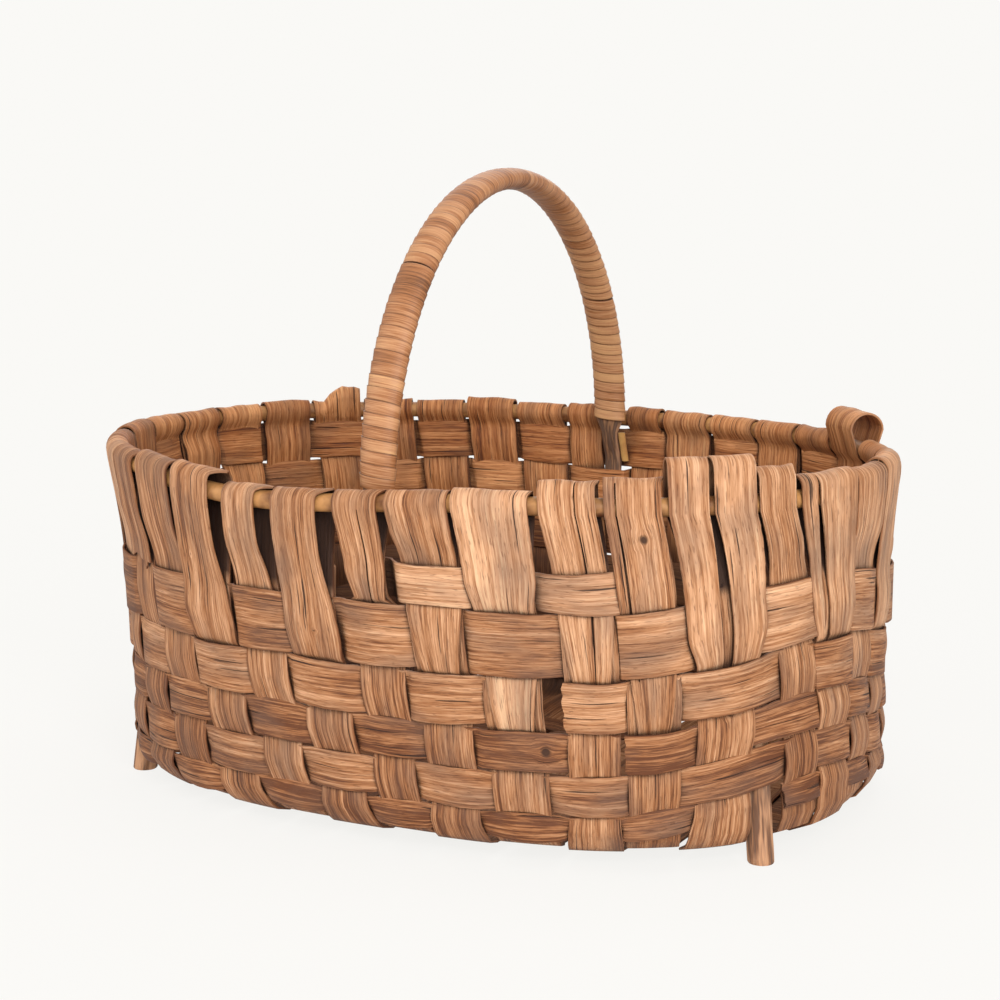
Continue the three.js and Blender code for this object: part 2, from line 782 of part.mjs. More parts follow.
addSplints();
addWeavers();
addRimRod();
addHandleCore();
addHandleWrap();
addSideStick();
addLegs();

// The middle of the whole length and width goes to the origin
const bounds = new THREE.Box3().setFromObject(basket);
const middle = bounds.getCenter(new THREE.Vector3());
basket.position.set(-middle.x, -middle.y, -bounds.min.z);

export default basket;
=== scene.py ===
# Woven splint basket: oval, plaited from wide wood splints, with a wrapped hoop handle
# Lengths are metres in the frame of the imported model: +X the long way, +Z up, legs on Z = 0.

import bisect
import math

import bpy
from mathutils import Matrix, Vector, noise


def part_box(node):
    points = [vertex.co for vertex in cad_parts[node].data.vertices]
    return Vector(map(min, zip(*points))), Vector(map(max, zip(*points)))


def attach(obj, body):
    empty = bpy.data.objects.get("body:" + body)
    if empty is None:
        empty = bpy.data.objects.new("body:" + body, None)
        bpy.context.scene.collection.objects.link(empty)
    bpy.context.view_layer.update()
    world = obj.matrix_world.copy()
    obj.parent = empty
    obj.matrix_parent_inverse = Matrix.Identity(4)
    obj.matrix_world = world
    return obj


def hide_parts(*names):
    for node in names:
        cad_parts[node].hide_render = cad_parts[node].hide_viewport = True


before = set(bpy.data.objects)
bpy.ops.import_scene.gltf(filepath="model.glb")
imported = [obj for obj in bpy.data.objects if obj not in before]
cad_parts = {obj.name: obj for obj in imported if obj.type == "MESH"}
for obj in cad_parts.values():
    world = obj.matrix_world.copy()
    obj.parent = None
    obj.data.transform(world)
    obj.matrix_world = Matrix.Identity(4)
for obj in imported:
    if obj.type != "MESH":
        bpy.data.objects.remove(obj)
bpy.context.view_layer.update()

bl_info = {
    "name": "Woven splint basket",
    "version": (1, 0, 0),
    "blender": (4, 5, 0),
    "location": "View3D > Sidebar > Basket",
    "description": "Builds the splints, rod, handle and legs of a woven basket round its frame",
    "category": "Object",
}

MM = 0.001
X_AXIS = Vector((1, 0, 0))
Y_AXIS = Vector((0, 1, 0))


def lerp(a, b, part):
    return a + (b - a) * part


def clamp(value, low, high):
    return max(low, min(high, value))


def signed_power(value, exponent):
    return math.copysign(abs(value) ** exponent, value)


def smooth_step(value):
    value = clamp(value, 0, 1)
    return value * value * (3 - 2 * value)


def place_in(values, value):
    """Step of a rising list that holds a value, and how far along that step it is."""
    low = clamp(bisect.bisect_right(values, value) - 1, 0, len(values) - 2)
    return low, (value - values[low]) / (values[low + 1] - values[low])


def wobble(seed, place, size, amount):
    """Smooth random change along a length, the same on each run."""
    return amount * noise.noise(Vector((place / size, 7.31 * seed + 0.5, 3.7 + 0.37 * seed)))


# Sizes and colours that a maker would change


def size_setting(name, description, millimetres):
    return bpy.props.FloatProperty(
        name=name, description=description, default=millimetres * MM, unit="LENGTH", precision=5
    )


class BasketSizes(bpy.types.PropertyGroup):
    """Sizes of the basket."""

    rim_half_length: size_setting("Rim half length", "Half the length at the rim rod", 266)
    rim_half_width: size_setting("Rim half width", "Half the width at the rim rod", 191)
    base_half_length: size_setting("Base half length", "Half the length at the base", 255)
    base_half_width: size_setting("Base half width", "Half the width at the base", 184)
    rim_height: size_setting("Rim height", "Height of the rim rod above the base", 212)
    splint_thickness: size_setting("Splint thickness", "Thickness of one splint", 1.5)
    stake_top_width: size_setting("Stake top width", "Width of an upright splint at the rim", 37)
    stake_foot_width: size_setting("Stake foot width", "Width of an upright splint low down", 31)
    rod_radius: size_setting("Rod radius", "Radius of the rod inside the rim", 6)
    arch_rise: size_setting("Handle rise", "Height of the handle above the rim", 182)
    leg_radius: size_setting("Leg radius", "Radius of the four legs", 8.5)
    bulge: size_setting("Bulge", "How far a splint bows out where it crosses another", 1.5)
    wrap_turns: bpy.props.IntProperty(
        name="Handle turns", description="Turns of the splint wound on the handle", default=74
    )


def linear_colour(hex_code):
    """Linear red, green, blue and alpha of an sRGB hex colour."""
    channels = []
    for start in (0, 2, 4):
        value = int(hex_code[start : start + 2], 16) / 255
        if value <= 0.04045:
            channels.append(value / 12.92)
        else:
            channels.append(((value + 0.055) / 1.055) ** 2.4)
    return (*channels, 1.0)


def colour_setting(name, description, hex_code):
    return bpy.props.FloatVectorProperty(
        name=name,
        description=description,
        default=linear_colour(hex_code),
        size=4,
        subtype="COLOR",
        min=0,
        max=1,
    )


class BasketColours(bpy.types.PropertyGroup):
    """Colours of the basket."""

    wood_light: colour_setting("Light grain", "Lightest grain of the splints", "e4b88f")
    wood_warm: colour_setting("Warm grain", "Light main colour of the splints", "d4a079")
    wood_mid: colour_setting("Middle grain", "Main colour of the splints", "b9855d")
    wood_brown: colour_setting("Brown grain", "Brown of the older wood", "9c653d")
    wood_dark: colour_setting("Dark grain", "Darkest grain of the splints", "63371c")
    # The crack colour is also laid as painted shade in the corners where splints cross and on stakes
    # behind their own tails
    crack: colour_setting("Cracks", "Cracks, knots and dirt in the corners", "2a1409")
    # Laid as painted shade and soil low down inside the basket
    shade_and_soil: colour_setting("Soil", "Dark wood deep inside the basket", "2e190c")
    grime: colour_setting("Grime", "Grey-brown stains of age", "6b5244")
    inner: colour_setting("Inner tint", "Tint of the warmer wood inside", "f6e2c4")
    wrap_light: colour_setting("Light winding", "Light grain of the handle winding", "cd9b6b")
    wrap_dark: colour_setting("Dark winding", "Dark grain of the handle winding", "5c371e")
    rod: colour_setting("Rod", "Peeled wood of the rim rod", "bb8650")
    bark: colour_setting("Bark", "Bark of the handle core", "5e4433")
    leg_bark: colour_setting("Leg bark", "Worn bark of the legs", "74503a")
    stick: colour_setting("Side stick", "Peeled wood of the thin stick", "d8aa66")
    floor: colour_setting("Floor", "Floor and backdrop", "f2f0ee")
    white: colour_setting("White", "Warm white of the paper far away", "fffefb")


# Shape of the wall, as in the part's own drawing: sizes in metres, shares of the rim
# length, the rim height or a width
FIT_GAP = 0.4 * MM
RIM_ROUND_SHARE = 0.909
BASE_ROUND_SHARE = 0.8
FLARE_SHARE = 0.333
BASE_LEAN_X = 7 * MM
BASE_LIFT = 8.5 * MM
BOTTOM_ROUNDING = 20 * MM
RIM_SAG = 8 * MM
SAG_CENTRE_SHARE = 0.7
SAG_REACH_SHARE = 0.11
ROW_RISE = 16 * MM
RISE_CENTRE_SHARE = 0.95
RISE_REACH_SHARE = 0.11

# Stakes, numbered round the rim from the left end of the near side; -1 is the last one
STAKE_COUNT = 36
CROSSWISE_COUNT = 12
LENGTHWISE_COUNT = 6
FIRST_CROSSWISE = -1
NEAR_STAKE_SHARES = [
    0.612, 0.64, 0.671, 0.7, 0.728, 0.755, 0.781, 0.812, 0.8425, 0.868, 0.898, 0.9265, 0.9535,
    0.985, 1.0125,
]
NEAR_WIDTH_SHARES = [
    1.02, 1.15, 1.27, 1, 1.14, 0.89, 1.09, 1.33, 1, 0.96, 1.42, 0.75, 1.32, 1.14, 0.98,
]
ROW_WIDTH_KEEP_SHARE = 0.4
STAKE_LEAN_SHARE = 0.013
LEAN_CENTRE_SHARE = 0.78
LONG_SIDE_SQUEEZE = 0.955
END_SQUEEZE = 0.9
RUN_SPREAD = -0.02
RUN_PINCH_SHARE = 0.3
FOOT_SPREAD = 0.17
FOOT_SPREAD_HEIGHT = 26 * MM
# Height over which the painted shade behind a tail fades in
TAIL_SHADE_FADE = 8 * MM
BASE_STRIP_WIDTH = 37 * MM
CROSSING_SHARE = 0.94
BASE_BOW_SHARE = 0.4

# Folds and tails
TOP_RISE_SHARES = [0, 0.02, 0.02, 0, 0, 0, 0, 0, 0.03, 0.04, 0.1, 0.06, 0.03, 0.02, 0.02]
FOLD_UNEVENNESS = 4 * MM
FOLD_CREASE = 1.2 * MM
FAR_RISE_SHARE = 0.04
BROKEN_TOP_ROUGHNESS = 5 * MM
LOOSE_FOLD_RADIUS = 11.5 * MM
LOOSE_FOLD_RISE = 14.5 * MM
TAIL_POINT_SHARE = 0.45
POINT_LENGTH_SHARE = 0.5
TAIL_WIDTH_KEEP_SHARE = 0.8
TAIL_BELLY = 1.6 * MM
FAR_BELLY_SHARE = 0.4
MIDDLE_BELLY_SHARE = 0.4
TAIL_LIFT = 0.3 * MM
TUCK_NARROWING = 22 * MM
FREE_TAIL_GAP = 4.5 * MM
TORN_LENGTH_SHARE = 0.25
TORN_DEPTH = 9 * MM
TORN_CORNER = 8 * MM
TORN_CORNER_FROM = 0.4
PINCH_FADES = (30 * MM, 105 * MM)
FOLD_TOP_PINCH = 0.05
FOLD_PINCH_REACH = 0.35

# Rows, numbered from 0 at the base; the top one comes close to the rod, as in the photo
ROW_WIDTH_SHARES = [0.07, 0.1075, 0.1075, 0.1355, 0.1776, 0.112, 0.13]
FIRST_ROW_BOTTOM = 10 * MM
ROW_GAP = 2.6 * MM
LEG_ROW = 1
SHORT_ROW = 5
TOP_ROW = 6
SHORT_ROW_LAST = 9
FAR_SHORT_ROW_FIRST = 15
FAR_SHORT_ROW_LAST = 33
TOP_ROW_FIRST = 16
TOP_ROW_LAST = 32
# The rows that go all round, each with the stake where it starts
ROW_STARTS = {1: 26, 2: 9, 3: 8, 4: 25}
# How the rows and stakes bow, lean and fray where they cross
KEY_EDGE_SHARE = 0.92
CELL_REACH = 0.09
BOW_OVER_TAIL = 0.5 * MM
ROW_SPREAD = 0.4 * MM
ROW_TILT = 1.3 * MM
ROW_WANDER = 2.2 * MM
ROW_CURL = 0.7 * MM
RAGGED_END = 2.4 * MM
RAGGED_CUT = 0.5 * MM
WEAVER_OVERRUN = 2 * MM
LEAST_STOP_SHARE = 0.0003

# Uneven edges: size and amount of the slow and of the fine change
STAKE_EDGE_SHARE = 0.985
STAKE_EDGE = (55 * MM, 0.05, 5 * MM, 0.014)
ROW_EDGE = (38 * MM, 1.5 * MM, 6 * MM, 0.3 * MM)

# Stakes that differ from their neighbours
FREE_TAIL_STAKE = 0
HANDLE_STAKE = 5
LOOSE_STAKE = 17
FAR_HANDLE_STAKE = 23
RAISED_STAKE = 28
HANDLE_SPREAD_SHARE = 0.003
FAR_HANDLE_WIDTH_SHARE = 0.7
NEAR_HANDLE_WIDTH_SHARE = 0.66

# Rod, handle and legs
ROD_ROUGHNESS = 0.25 * MM
HANDLE_X = 10 * MM
NEAR_MIDDLE_SHARE = 0.75
FAR_MIDDLE_SHARE = 0.25
CORE_HALF_WIDTH = 10 * MM
CORE_HALF_THICKNESS = 5 * MM
FOOT_HALF_WIDTH = 6.5 * MM
FOOT_HALF_THICKNESS = 3.2 * MM
HANDLE_FOOT_DEPTH = 76 * MM
HANDLE_BEND_DROP = 9 * MM
HANDLE_BEND_LENGTH = 22 * MM
WRAP_THICKNESS = 1.4 * MM
WRAP_CLEARANCE = 0.9 * MM
WRAP_STRIP_THICKNESS = 0.8 * MM
WRAP_SHIFT_SHARE = 0.32
WRAP_WIDTH_SHARE = 1.14
WRAP_WIDTH_CHANGE = 0.16
WRAP_LAP = 0.34 * MM
WRAP_LAP_CHANGE = 0.12 * MM
WRAP_SINK = 0.1 * MM
CORE_ROUGHNESS = 0.05
CORE_GIRTH = 30 * MM
STICK_FULLNESS = 0.97
SIDE_STICK_RADIUS = 2.6 * MM
SIDE_STICK_GIRTH = 16 * MM
LEG_TOP_HEIGHT = 96 * MM
LEG_LEAN = 0.13
LEG_CHAMFER = 0.8 * MM
LEG_ROUGHNESS = 0.035
LEG_RIDGE = 0.03
LEG_GIRTH = 53 * MM

# Splits in the near tails: stake, place across, lower and upper end as shares of the rim
# height (over 1 is on top of the rod), width in millimetres, and how far one side stands out
TAIL_SPLITS = [
    (1, 0.2, 0.62, 1.04, 1.6, 0.8),
    (5, 0.05, 0.55, 1.0, 1.8, 0.5),
    (8, 0.22, 0.45, 1.05, 1.3, 0.8),
    (9, -0.62, 0.5, 1.03, 1.4, 0.6),
    (10, -0.03, 0.1, 1.07, 5.0, 1.6),
    (12, -0.46, 0.1, 1.04, 5.6, -0.8),
    (0, 0.35, -0.4, 0.85, 2.2, 0.9),
]
# How much of its half width a near tail loses on its right side just below the fold
TAIL_PINCHES = {0: 0.35, 1: 0.15, 2: 0.5, 3: 0.6, 4: 0.45, 5: 0.2, 7: 0.1, 8: 0.15, 9: 0.15, 11: 0.2}
# How far a near stake drifts to the right (or left, below 0) among the rows, in millimetres
STAKE_DRIFTS = {1: -5, 2: -10, 3: -11, 4: -10, 5: -5, 6: -1, 7: -1, 8: 4, 9: 4, 10: 7, 11: 5, 12: 3}
# Near stakes whose wood is lighter or darker than the rest
TAIL_TONES = {
    0: -0.2, 1: 0.3, 2: 0.1, 3: 0.3, 5: -0.1, 6: -0.4, 7: 0.25, 10: 0.05, 11: 0.2, 12: 0.45, 13: -0.15,
    14: 0.1,
}
# Rows that are lighter or darker on the near side: share where most, and how much
NEAR_ROW_TONES = {2: (0.8, -0.15), 4: (0.87, 0.35), 5: (0.8, 0.5)}
ROW_TONE_REACH = 0.2
# How far the tone changes from one splint to another, and along each
OWN_TONE_CHANGE = 0.6
TONE_CHANGE = 0.35
TONE_CHANGE_LENGTH = 90 * MM
# Knots in the tails and rows: stake or row, place along, place across, size in millimetres
TAIL_KNOTS = [(9, 0.915, 0.12, 3.6), (13, 0.62, 0.3, 2.8), (4, 0.5, -0.3, 1.6), (8, 0.3, 0.4, 2.2)]
ROW_KNOTS = [(1, 0.662, -0.35, 3.4), (2, 0.83, 0.1, 3.8), (4, 0.31, 0.2, 2.6), (5, 0.335, -0.4, 2.8)]
KNOTS_ANYWHERE = 2
SMALLEST_KNOT = 1.5 * MM
KNOT_SIZE_CHANGE = 2.2 * MM

# How finely the pieces are laid, and how rounded their edges are
EDGE_ROUNDING = 0.3 * MM
WRAP_EDGE_ROUNDING = 0.15 * MM
MERGE_DISTANCE = 0.02 * MM
RUNG_STEP = 3.2 * MM
FOLD_STEPS = 12
STRIP_COLUMNS = 9
CLEAR_OF_SPLIT = 0.13
LEAST_SPLIT = 0.8 * MM
FAR_FROM_KNOT = 9.0
KNOT_REACH = 2.6
KNOT_PUSH = 3.0 * MM
CELL_STEPS = 9
OUTLINE_SAMPLES = 1440
EVEN_SAMPLES = 4096
ROD_STEPS = 252
ROD_SIDES = 18
ARCH_SAMPLES = 720
ARCH_STEPS = 60
FOOT_STEPS = 12
BEND_STEPS = 6
CORE_SIDES = 24
WRAP_STEPS = 22
WRAP_COLUMNS = 5
STICK_SIDES = 14
STICK_STEPS = 8
LEG_SIDES = 28
LEG_STEPS = 34
SHARP_ANGLE = math.radians(60)
STRIP_SMOOTH_ANGLE = math.radians(40)
STICK_SMOOTH_ANGLE = math.radians(50)

# Seeds of the pieces, which also shift their maps, so that no two show the same grain
FIRST_ROW_SEED = 30
CORE_SEED = 61
SIDE_STICK_SEED = 63
WRAP_SEED = 71
FIRST_LEG_SEED = 81
MAP_SHIFT_ALONG = 0.913
MAP_SHIFT_ACROSS = 0.1


class Outline:
    """Rounded oval of one level, read by the share of its length from +X through +Y."""

    def __init__(self, half_length, half_width, round_share, shift_x):
        squareness = 2 / round_share
        corners = []
        for i in range(OUTLINE_SAMPLES + 1):
            angle = 2 * math.pi * i / OUTLINE_SAMPLES
            x = half_length * signed_power(math.cos(angle), round_share)
            y = half_width * signed_power(math.sin(angle), round_share)
            corners.append((x, y))
        lengths = [0.0]
        for (x0, y0), (x1, y1) in zip(corners, corners[1:]):
            lengths.append(lengths[-1] + math.hypot(x1 - x0, y1 - y0))
        self.total = lengths[-1]
        self.even = []
        for i in range(EVEN_SAMPLES + 1):
            low, part = place_in(lengths, self.total * i / EVEN_SAMPLES)
            x = lerp(corners[low][0], corners[low + 1][0], part)
            y = lerp(corners[low][1], corners[low + 1][1], part)
            nx = signed_power(x / half_length, squareness - 1) / half_length
            ny = signed_power(y / half_width, squareness - 1) / half_width
            size = math.hypot(nx, ny)
            self.even.append((x + shift_x, y, nx / size, ny / size))

    def at(self, share):
        """Place and outward normal at a share of the length."""
        place = (share - math.floor(share)) * EVEN_SAMPLES
        low = min(int(place), EVEN_SAMPLES - 1)
        part = place - low
        return [lerp(a, b, part) for a, b in zip(self.even[low], self.even[low + 1])]


def wrap_index(k):
    return k % STAKE_COUNT


class Curve:
    """Smooth curve through keys that never swings past them."""

    def __init__(self, keys):
        keys = sorted(keys)
        self.xs = [x for x, _ in keys]
        self.ys = [y for _, y in keys]
        steps = [b - a for a, b in zip(self.xs, self.xs[1:])]
        rises = [(b - a) / step for a, b, step in zip(self.ys, self.ys[1:], steps)]
        self.slopes = [0.0]
        for i in range(1, len(self.xs) - 1):
            if rises[i - 1] * rises[i] <= 0:
                self.slopes.append(0.0)
            else:
                self.slopes.append(2 / (1 / rises[i - 1] + 1 / rises[i]))
        self.slopes.append(0.0)

    def at(self, x):
        if x <= self.xs[0]:
            return self.ys[0]
        if x >= self.xs[-1]:
            return self.ys[-1]
        low, t = place_in(self.xs, x)
        step = self.xs[low + 1] - self.xs[low]
        start = (1 + 2 * t) * (1 - t) ** 2 * self.ys[low]
        leaving = t * (1 - t) ** 2 * step * self.slopes[low]
        end = t * t * (3 - 2 * t) * self.ys[low + 1]
        arriving = t * t * (t - 1) * step * self.slopes[low + 1]
        return start + leaving + end + arriving


def hump_at(share, centre_share, reach_share, height):
    """Smooth hump of a height round the rim: nothing beyond its reach."""
    turn = share - centre_share
    turn -= round(turn)
    if abs(turn) > reach_share:
        return 0
    return height * (1 + math.cos(math.pi * turn / reach_share)) / 2


class Wall:
    """The woven wall: where each splint runs, worked out from the sizes."""

    def __init__(self, sizes):
        self.sizes = sizes
        self.rim_height = sizes.rim_height
        self.thickness = sizes.splint_thickness
        self.layer = (self.thickness + FIT_GAP) / 2
        self.bulge = sizes.bulge
        self.rim = Outline(sizes.rim_half_length, sizes.rim_half_width, RIM_ROUND_SHARE, 0)
        half_sizes = (sizes.base_half_length, sizes.base_half_width)
        self.base = Outline(*half_sizes, BASE_ROUND_SHARE, BASE_LEAN_X)
        low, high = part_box("handle_core")
        self.shift = Vector(((low.x + high.x) / 2 - HANDLE_X, (low.y + high.y) / 2, 0))
        self.close_radius = sizes.rod_radius + FIT_GAP + self.thickness / 2
        self.row_bottoms = []
        self.row_tops = []
        bottom = FIRST_ROW_BOTTOM
        for share in ROW_WIDTH_SHARES:
            self.row_bottoms.append(bottom)
            self.row_tops.append(bottom + share * self.rim_height)
            bottom = self.row_tops[-1] + ROW_GAP
        self.long_side_last = FIRST_CROSSWISE + CROSSWISE_COUNT - 1
        self.far_first = self.long_side_last + LENGTHWISE_COUNT + 1
        self.far_last = self.far_first + CROSSWISE_COUNT - 1
        self.top_rows = [self.top_row_of(k) for k in range(STAKE_COUNT)]
        self.rim_shares = [self.rim_share(k) for k in range(STAKE_COUNT)]
        self.base_shares = [self.base_share(k) for k in range(STAKE_COUNT)]
        self.tucks = [self.tuck_rows(k) for k in range(STAKE_COUNT)]

    def flare(self, height):
        """The wall stands nearly upright and flares out close to the rim."""
        return (max(height, 0) / self.rim_height) ** (1 / FLARE_SHARE)

    def plan(self, share, height):
        """Place and normal of the wall's middle surface, seen from above."""
        flare = self.flare(height)
        blend = clamp(height / self.rim_height, 0, 1)
        bx, by, bnx, bny = self.base.at(share)
        rx, ry, rnx, rny = self.rim.at(share)
        nx = lerp(bnx, rnx, blend)
        ny = lerp(bny, rny, blend)
        size = math.hypot(nx, ny)
        return lerp(bx, rx, flare), lerp(by, ry, flare), nx / size, ny / size

    def point(self, share, height, outward):
        """Point of the wall's middle surface, moved out along its normal."""
        x, y, nx, ny = self.plan(share, height)
        tilt = 0
        inset = 0
        if height < BOTTOM_ROUNDING:
            tilt = math.asin((BOTTOM_ROUNDING - max(height, 0)) / BOTTOM_ROUNDING)
            inset = BOTTOM_ROUNDING * (1 - math.cos(tilt))
        reach = outward * math.cos(tilt) - inset
        z = height + BASE_LIFT - outward * math.sin(tilt)
        return Vector((x + reach * nx, y + reach * ny, z)) + self.shift

    def upright_point(self, share, height, outward):
        """Point on a line that goes straight on past the rounding."""
        x, y, nx, ny = self.plan(share, height)
        return Vector((x + outward * nx, y + outward * ny, height + BASE_LIFT)) + self.shift

    def rise_at(self, share):
        """How far the rows climb near the right end of the near side."""
        return hump_at(share, RISE_CENTRE_SHARE, RISE_REACH_SHARE, ROW_RISE)

    def sag_at(self, share):
        """How far the rim sinks near the left end of the near side."""
        return hump_at(share, SAG_CENTRE_SHARE, SAG_REACH_SHARE, RIM_SAG)

    def rim_share(self, index):
        k = wrap_index(index)
        last_near = len(NEAR_STAKE_SHARES) - 1
        if k <= last_near:
            return NEAR_STAKE_SHARES[k]
        span = NEAR_STAKE_SHARES[0] + 1 - NEAR_STAKE_SHARES[last_near]
        share = NEAR_STAKE_SHARES[last_near] + (k - last_near) * span / (STAKE_COUNT - last_near)
        if k == FAR_HANDLE_STAKE:
            share += HANDLE_SPREAD_SHARE
        if k == FAR_HANDLE_STAKE - 1:
            share -= HANDLE_SPREAD_SHARE
        return share

    def side_of(self, index):
        """First and last stake of the side that a stake stands on, and how it narrows."""
        k = wrap_index(index)
        if self.long_side_last < k < self.far_first:
            return self.long_side_last + 1, self.far_first - 1, END_SQUEEZE
        if self.far_first <= k <= self.far_last:
            return self.far_first, self.far_last, LONG_SIDE_SQUEEZE
        if self.far_last < k < STAKE_COUNT + FIRST_CROSSWISE:
            return self.far_last + 1, STAKE_COUNT + FIRST_CROSSWISE - 1, END_SQUEEZE
        return FIRST_CROSSWISE, self.long_side_last, LONG_SIDE_SQUEEZE

    def base_share(self, index):
        first, last, squeeze = self.side_of(index)
        first_share = self.rim_share(first) - (1 if first < 0 else 0)
        middle = (first_share + self.rim_share(last)) / 2
        wraps = first < 0 and wrap_index(index) > last
        own = self.rim_share(index) - (1 if wraps else 0)
        lean = STAKE_LEAN_SHARE * (1 + math.cos(2 * math.pi * (own - LEAN_CENTRE_SHARE))) / 2
        return middle + (own - middle) * squeeze + lean + (1 if wraps else 0)

    def stake_share(self, k, height, side):
        """Share of a place across a stake: side -1 and 1 are its edges."""
        part = clamp(height / self.rim_height, 0, 1)
        middle = lerp(self.base_shares[k], self.rim_shares[k], part)
        drift = STAKE_DRIFTS.get(k, 0) * MM * math.sin(math.pi * (1 - part) ** 0.8)
        middle += drift / self.rim.total
        top_width = self.sizes.stake_top_width
        if k in (FAR_HANDLE_STAKE, FAR_HANDLE_STAKE - 1):
            top_width *= FAR_HANDLE_WIDTH_SHARE
        width = lerp(self.sizes.stake_foot_width, top_width, part) * self.width_share(k, height)
        return middle + side * width / 2 / self.rim.total

    def tail_share(self, k, height, side):
        """The same for a folded tail, which nearly keeps the width of its fold."""
        middle = self.stake_share(k, height, 0)
        own_half = self.stake_share(k, height, 1) - middle
        fold_half = self.stake_share(k, self.rim_height, 1) - self.rim_shares[k]
        tuck = self.row_tops[self.tucks[k][0]] if self.tucks[k] else 0
        free = smooth_step((height - tuck) / TUCK_NARROWING)
        half = lerp(own_half, fold_half, TAIL_WIDTH_KEEP_SHARE * free)
        return middle + side * half * self.pinch(k, self.rim_height - height, side)

    def pinch(self, k, drop, side):
        """Share of its half width that a tail keeps on this side, so far below the rim."""
        if side < 0:
            return 1
        full, gone = PINCH_FADES
        return 1 - TAIL_PINCHES.get(k, 0) * (1 - smooth_step((drop - full) / (gone - full)))

    def width_share(self, k, height):
        """Own width of a stake: whole at the rim, and nearer the usual one among the rows."""
        own = NEAR_WIDTH_SHARES[k] if k < len(NEAR_WIDTH_SHARES) else 1
        among = lerp(1, own, ROW_WIDTH_KEEP_SHARE)
        if k == HANDLE_STAKE:
            above = smooth_step((height - self.row_tops[SHORT_ROW - 1]) / ROW_GAP)
            among = lerp(among, NEAR_HANDLE_WIDTH_SHARE, above)
        top = self.top_of(k)
        return lerp(among, own, clamp((height - top) / (self.rim_height - top), 0, 1))

    def row_passes(self, k, row):
        if row < SHORT_ROW:
            return True
        if row == TOP_ROW:
            return TOP_ROW_FIRST <= k <= TOP_ROW_LAST
        near = HANDLE_STAKE <= k <= SHORT_ROW_LAST
        return near or FAR_SHORT_ROW_FIRST <= k <= FAR_SHORT_ROW_LAST

    def stake_outside(self, k, row):
        return (k + row) % 2 == 0

    def tuck_rows(self, k):
        """Rows under which the folded tail of a stake is tucked, from the rim down."""
        if k == FREE_TAIL_STAKE:
            return []
        rows = []
        for row in range(TOP_ROW, -1, -1):
            if self.row_passes(k, row) and not self.stake_outside(k, row):
                rows.append(row)
        twice = HANDLE_STAKE < k <= SHORT_ROW_LAST
        return rows[: 2 if twice else 1]

    def weaver_offset(self, k, row):
        if self.stake_outside(k, row):
            return -self.layer
        return 3 * self.layer if row in self.tucks[k] else self.layer

    def top_row_of(self, k):
        return max(row for row in range(TOP_ROW + 1) if self.row_passes(k, row))

    def top_of(self, k):
        """Upper edge of the highest row that passes a stake."""
        return self.row_tops[self.top_rows[k]]

    def stake_point(self, k, plain, share, depth):
        """Point of a stake, which climbs with the rows and sinks with the rim above them."""
        top = self.top_of(k)
        above = smooth_step((plain - top) / (self.rim_height - top))
        climb = self.rise_at(share) * smooth_step(plain / FIRST_ROW_BOTTOM) * (1 - above)
        spot = self.point(share, plain + climb, depth)
        spot.z -= self.sag_at(share) * above
        return spot

    def tail_end(self, k):
        """Plain height at which the folded tail of a stake ends."""
        if self.tucks[k]:
            return self.row_bottoms[self.tucks[k][-1]]
        return self.top_of(k) + FREE_TAIL_GAP

    def fold_size(self, k):
        """Radius of the fold of a stake, and how far it stands above the rod."""
        if k == LOOSE_STAKE:
            return LOOSE_FOLD_RADIUS, LOOSE_FOLD_RISE
        own = TOP_RISE_SHARES[k] if k < len(TOP_RISE_SHARES) else 0
        if k == RAISED_STAKE:
            own = FAR_RISE_SHARE
        return self.close_radius, own * self.rim_height + abs(wobble(k, 0.4, 1, FOLD_UNEVENNESS))

    def bow(self, k, row):
        """How far this crossing bows out, a little different at each one."""
        return self.bulge * (1 + wobble(k + 40 * row, 0.3, 1, 0.8))

    def run_curve(self, k):
        """Depth of a stake by its plain height, from the rim rod down to the base."""
        keys = [(self.rim_height, -self.close_radius)]
        for row in range(TOP_ROW, -1, -1):
            if not self.row_passes(k, row):
                continue
            sign = 1 if self.stake_outside(k, row) else -1
            low = self.row_bottoms[row]
            high = self.row_tops[row]
            keys.append((lerp(low, high, KEY_EDGE_SHARE), sign * self.layer))
            keys.append(((low + high) / 2, sign * (self.layer + self.bow(k, row))))
            keys.append((lerp(high, low, KEY_EDGE_SHARE), sign * self.layer))
        foot = self.layer if self.stake_outside(k, 0) else -self.layer
        keys.append((0, foot))
        return Curve(keys)

    def tail_curve(self, k):
        """Depth of a folded tail outside the stake, by its plain height."""
        end = self.tail_end(k)
        keys = [(self.rim_height, self.close_radius)]
        if not self.tucks[k]:
            keys.append((end, 3 * self.layer))
        for row in range(TOP_ROW, -1, -1):
            if not self.row_passes(k, row) or self.row_bottoms[row] < end:
                continue
            tucked = row in self.tucks[k]
            depth = self.layer if tucked else 3 * self.layer
            low = self.row_bottoms[row]
            high = self.row_tops[row]
            keys.append((high, depth))
            lift = 0 if tucked else self.bow(k, row) + TAIL_LIFT
            keys.append(((low + high) / 2, depth + lift))
            keys.append((low, depth))
        return Curve(keys)


# Strips, rods and sticks


def columns_across(count):
    return [2 * i / (count - 1) - 1 for i in range(count)]


class Split:
    """A split along a splint: its place across, its ends, its width and its step."""

    def __init__(self, across, start, end, width, step, hand):
        self.across = across * hand
        self.start = start
        self.end = end
        self.width = width
        self.step = step
        self.hand = hand

    def taper(self, hand, reach):
        """1 at the middle of the split, 0 at its ends and beyond them."""
        if hand != self.hand or not self.start < reach < self.end:
            return 0
        return math.sin(math.pi * (reach - self.start) / (self.end - self.start)) ** 0.6


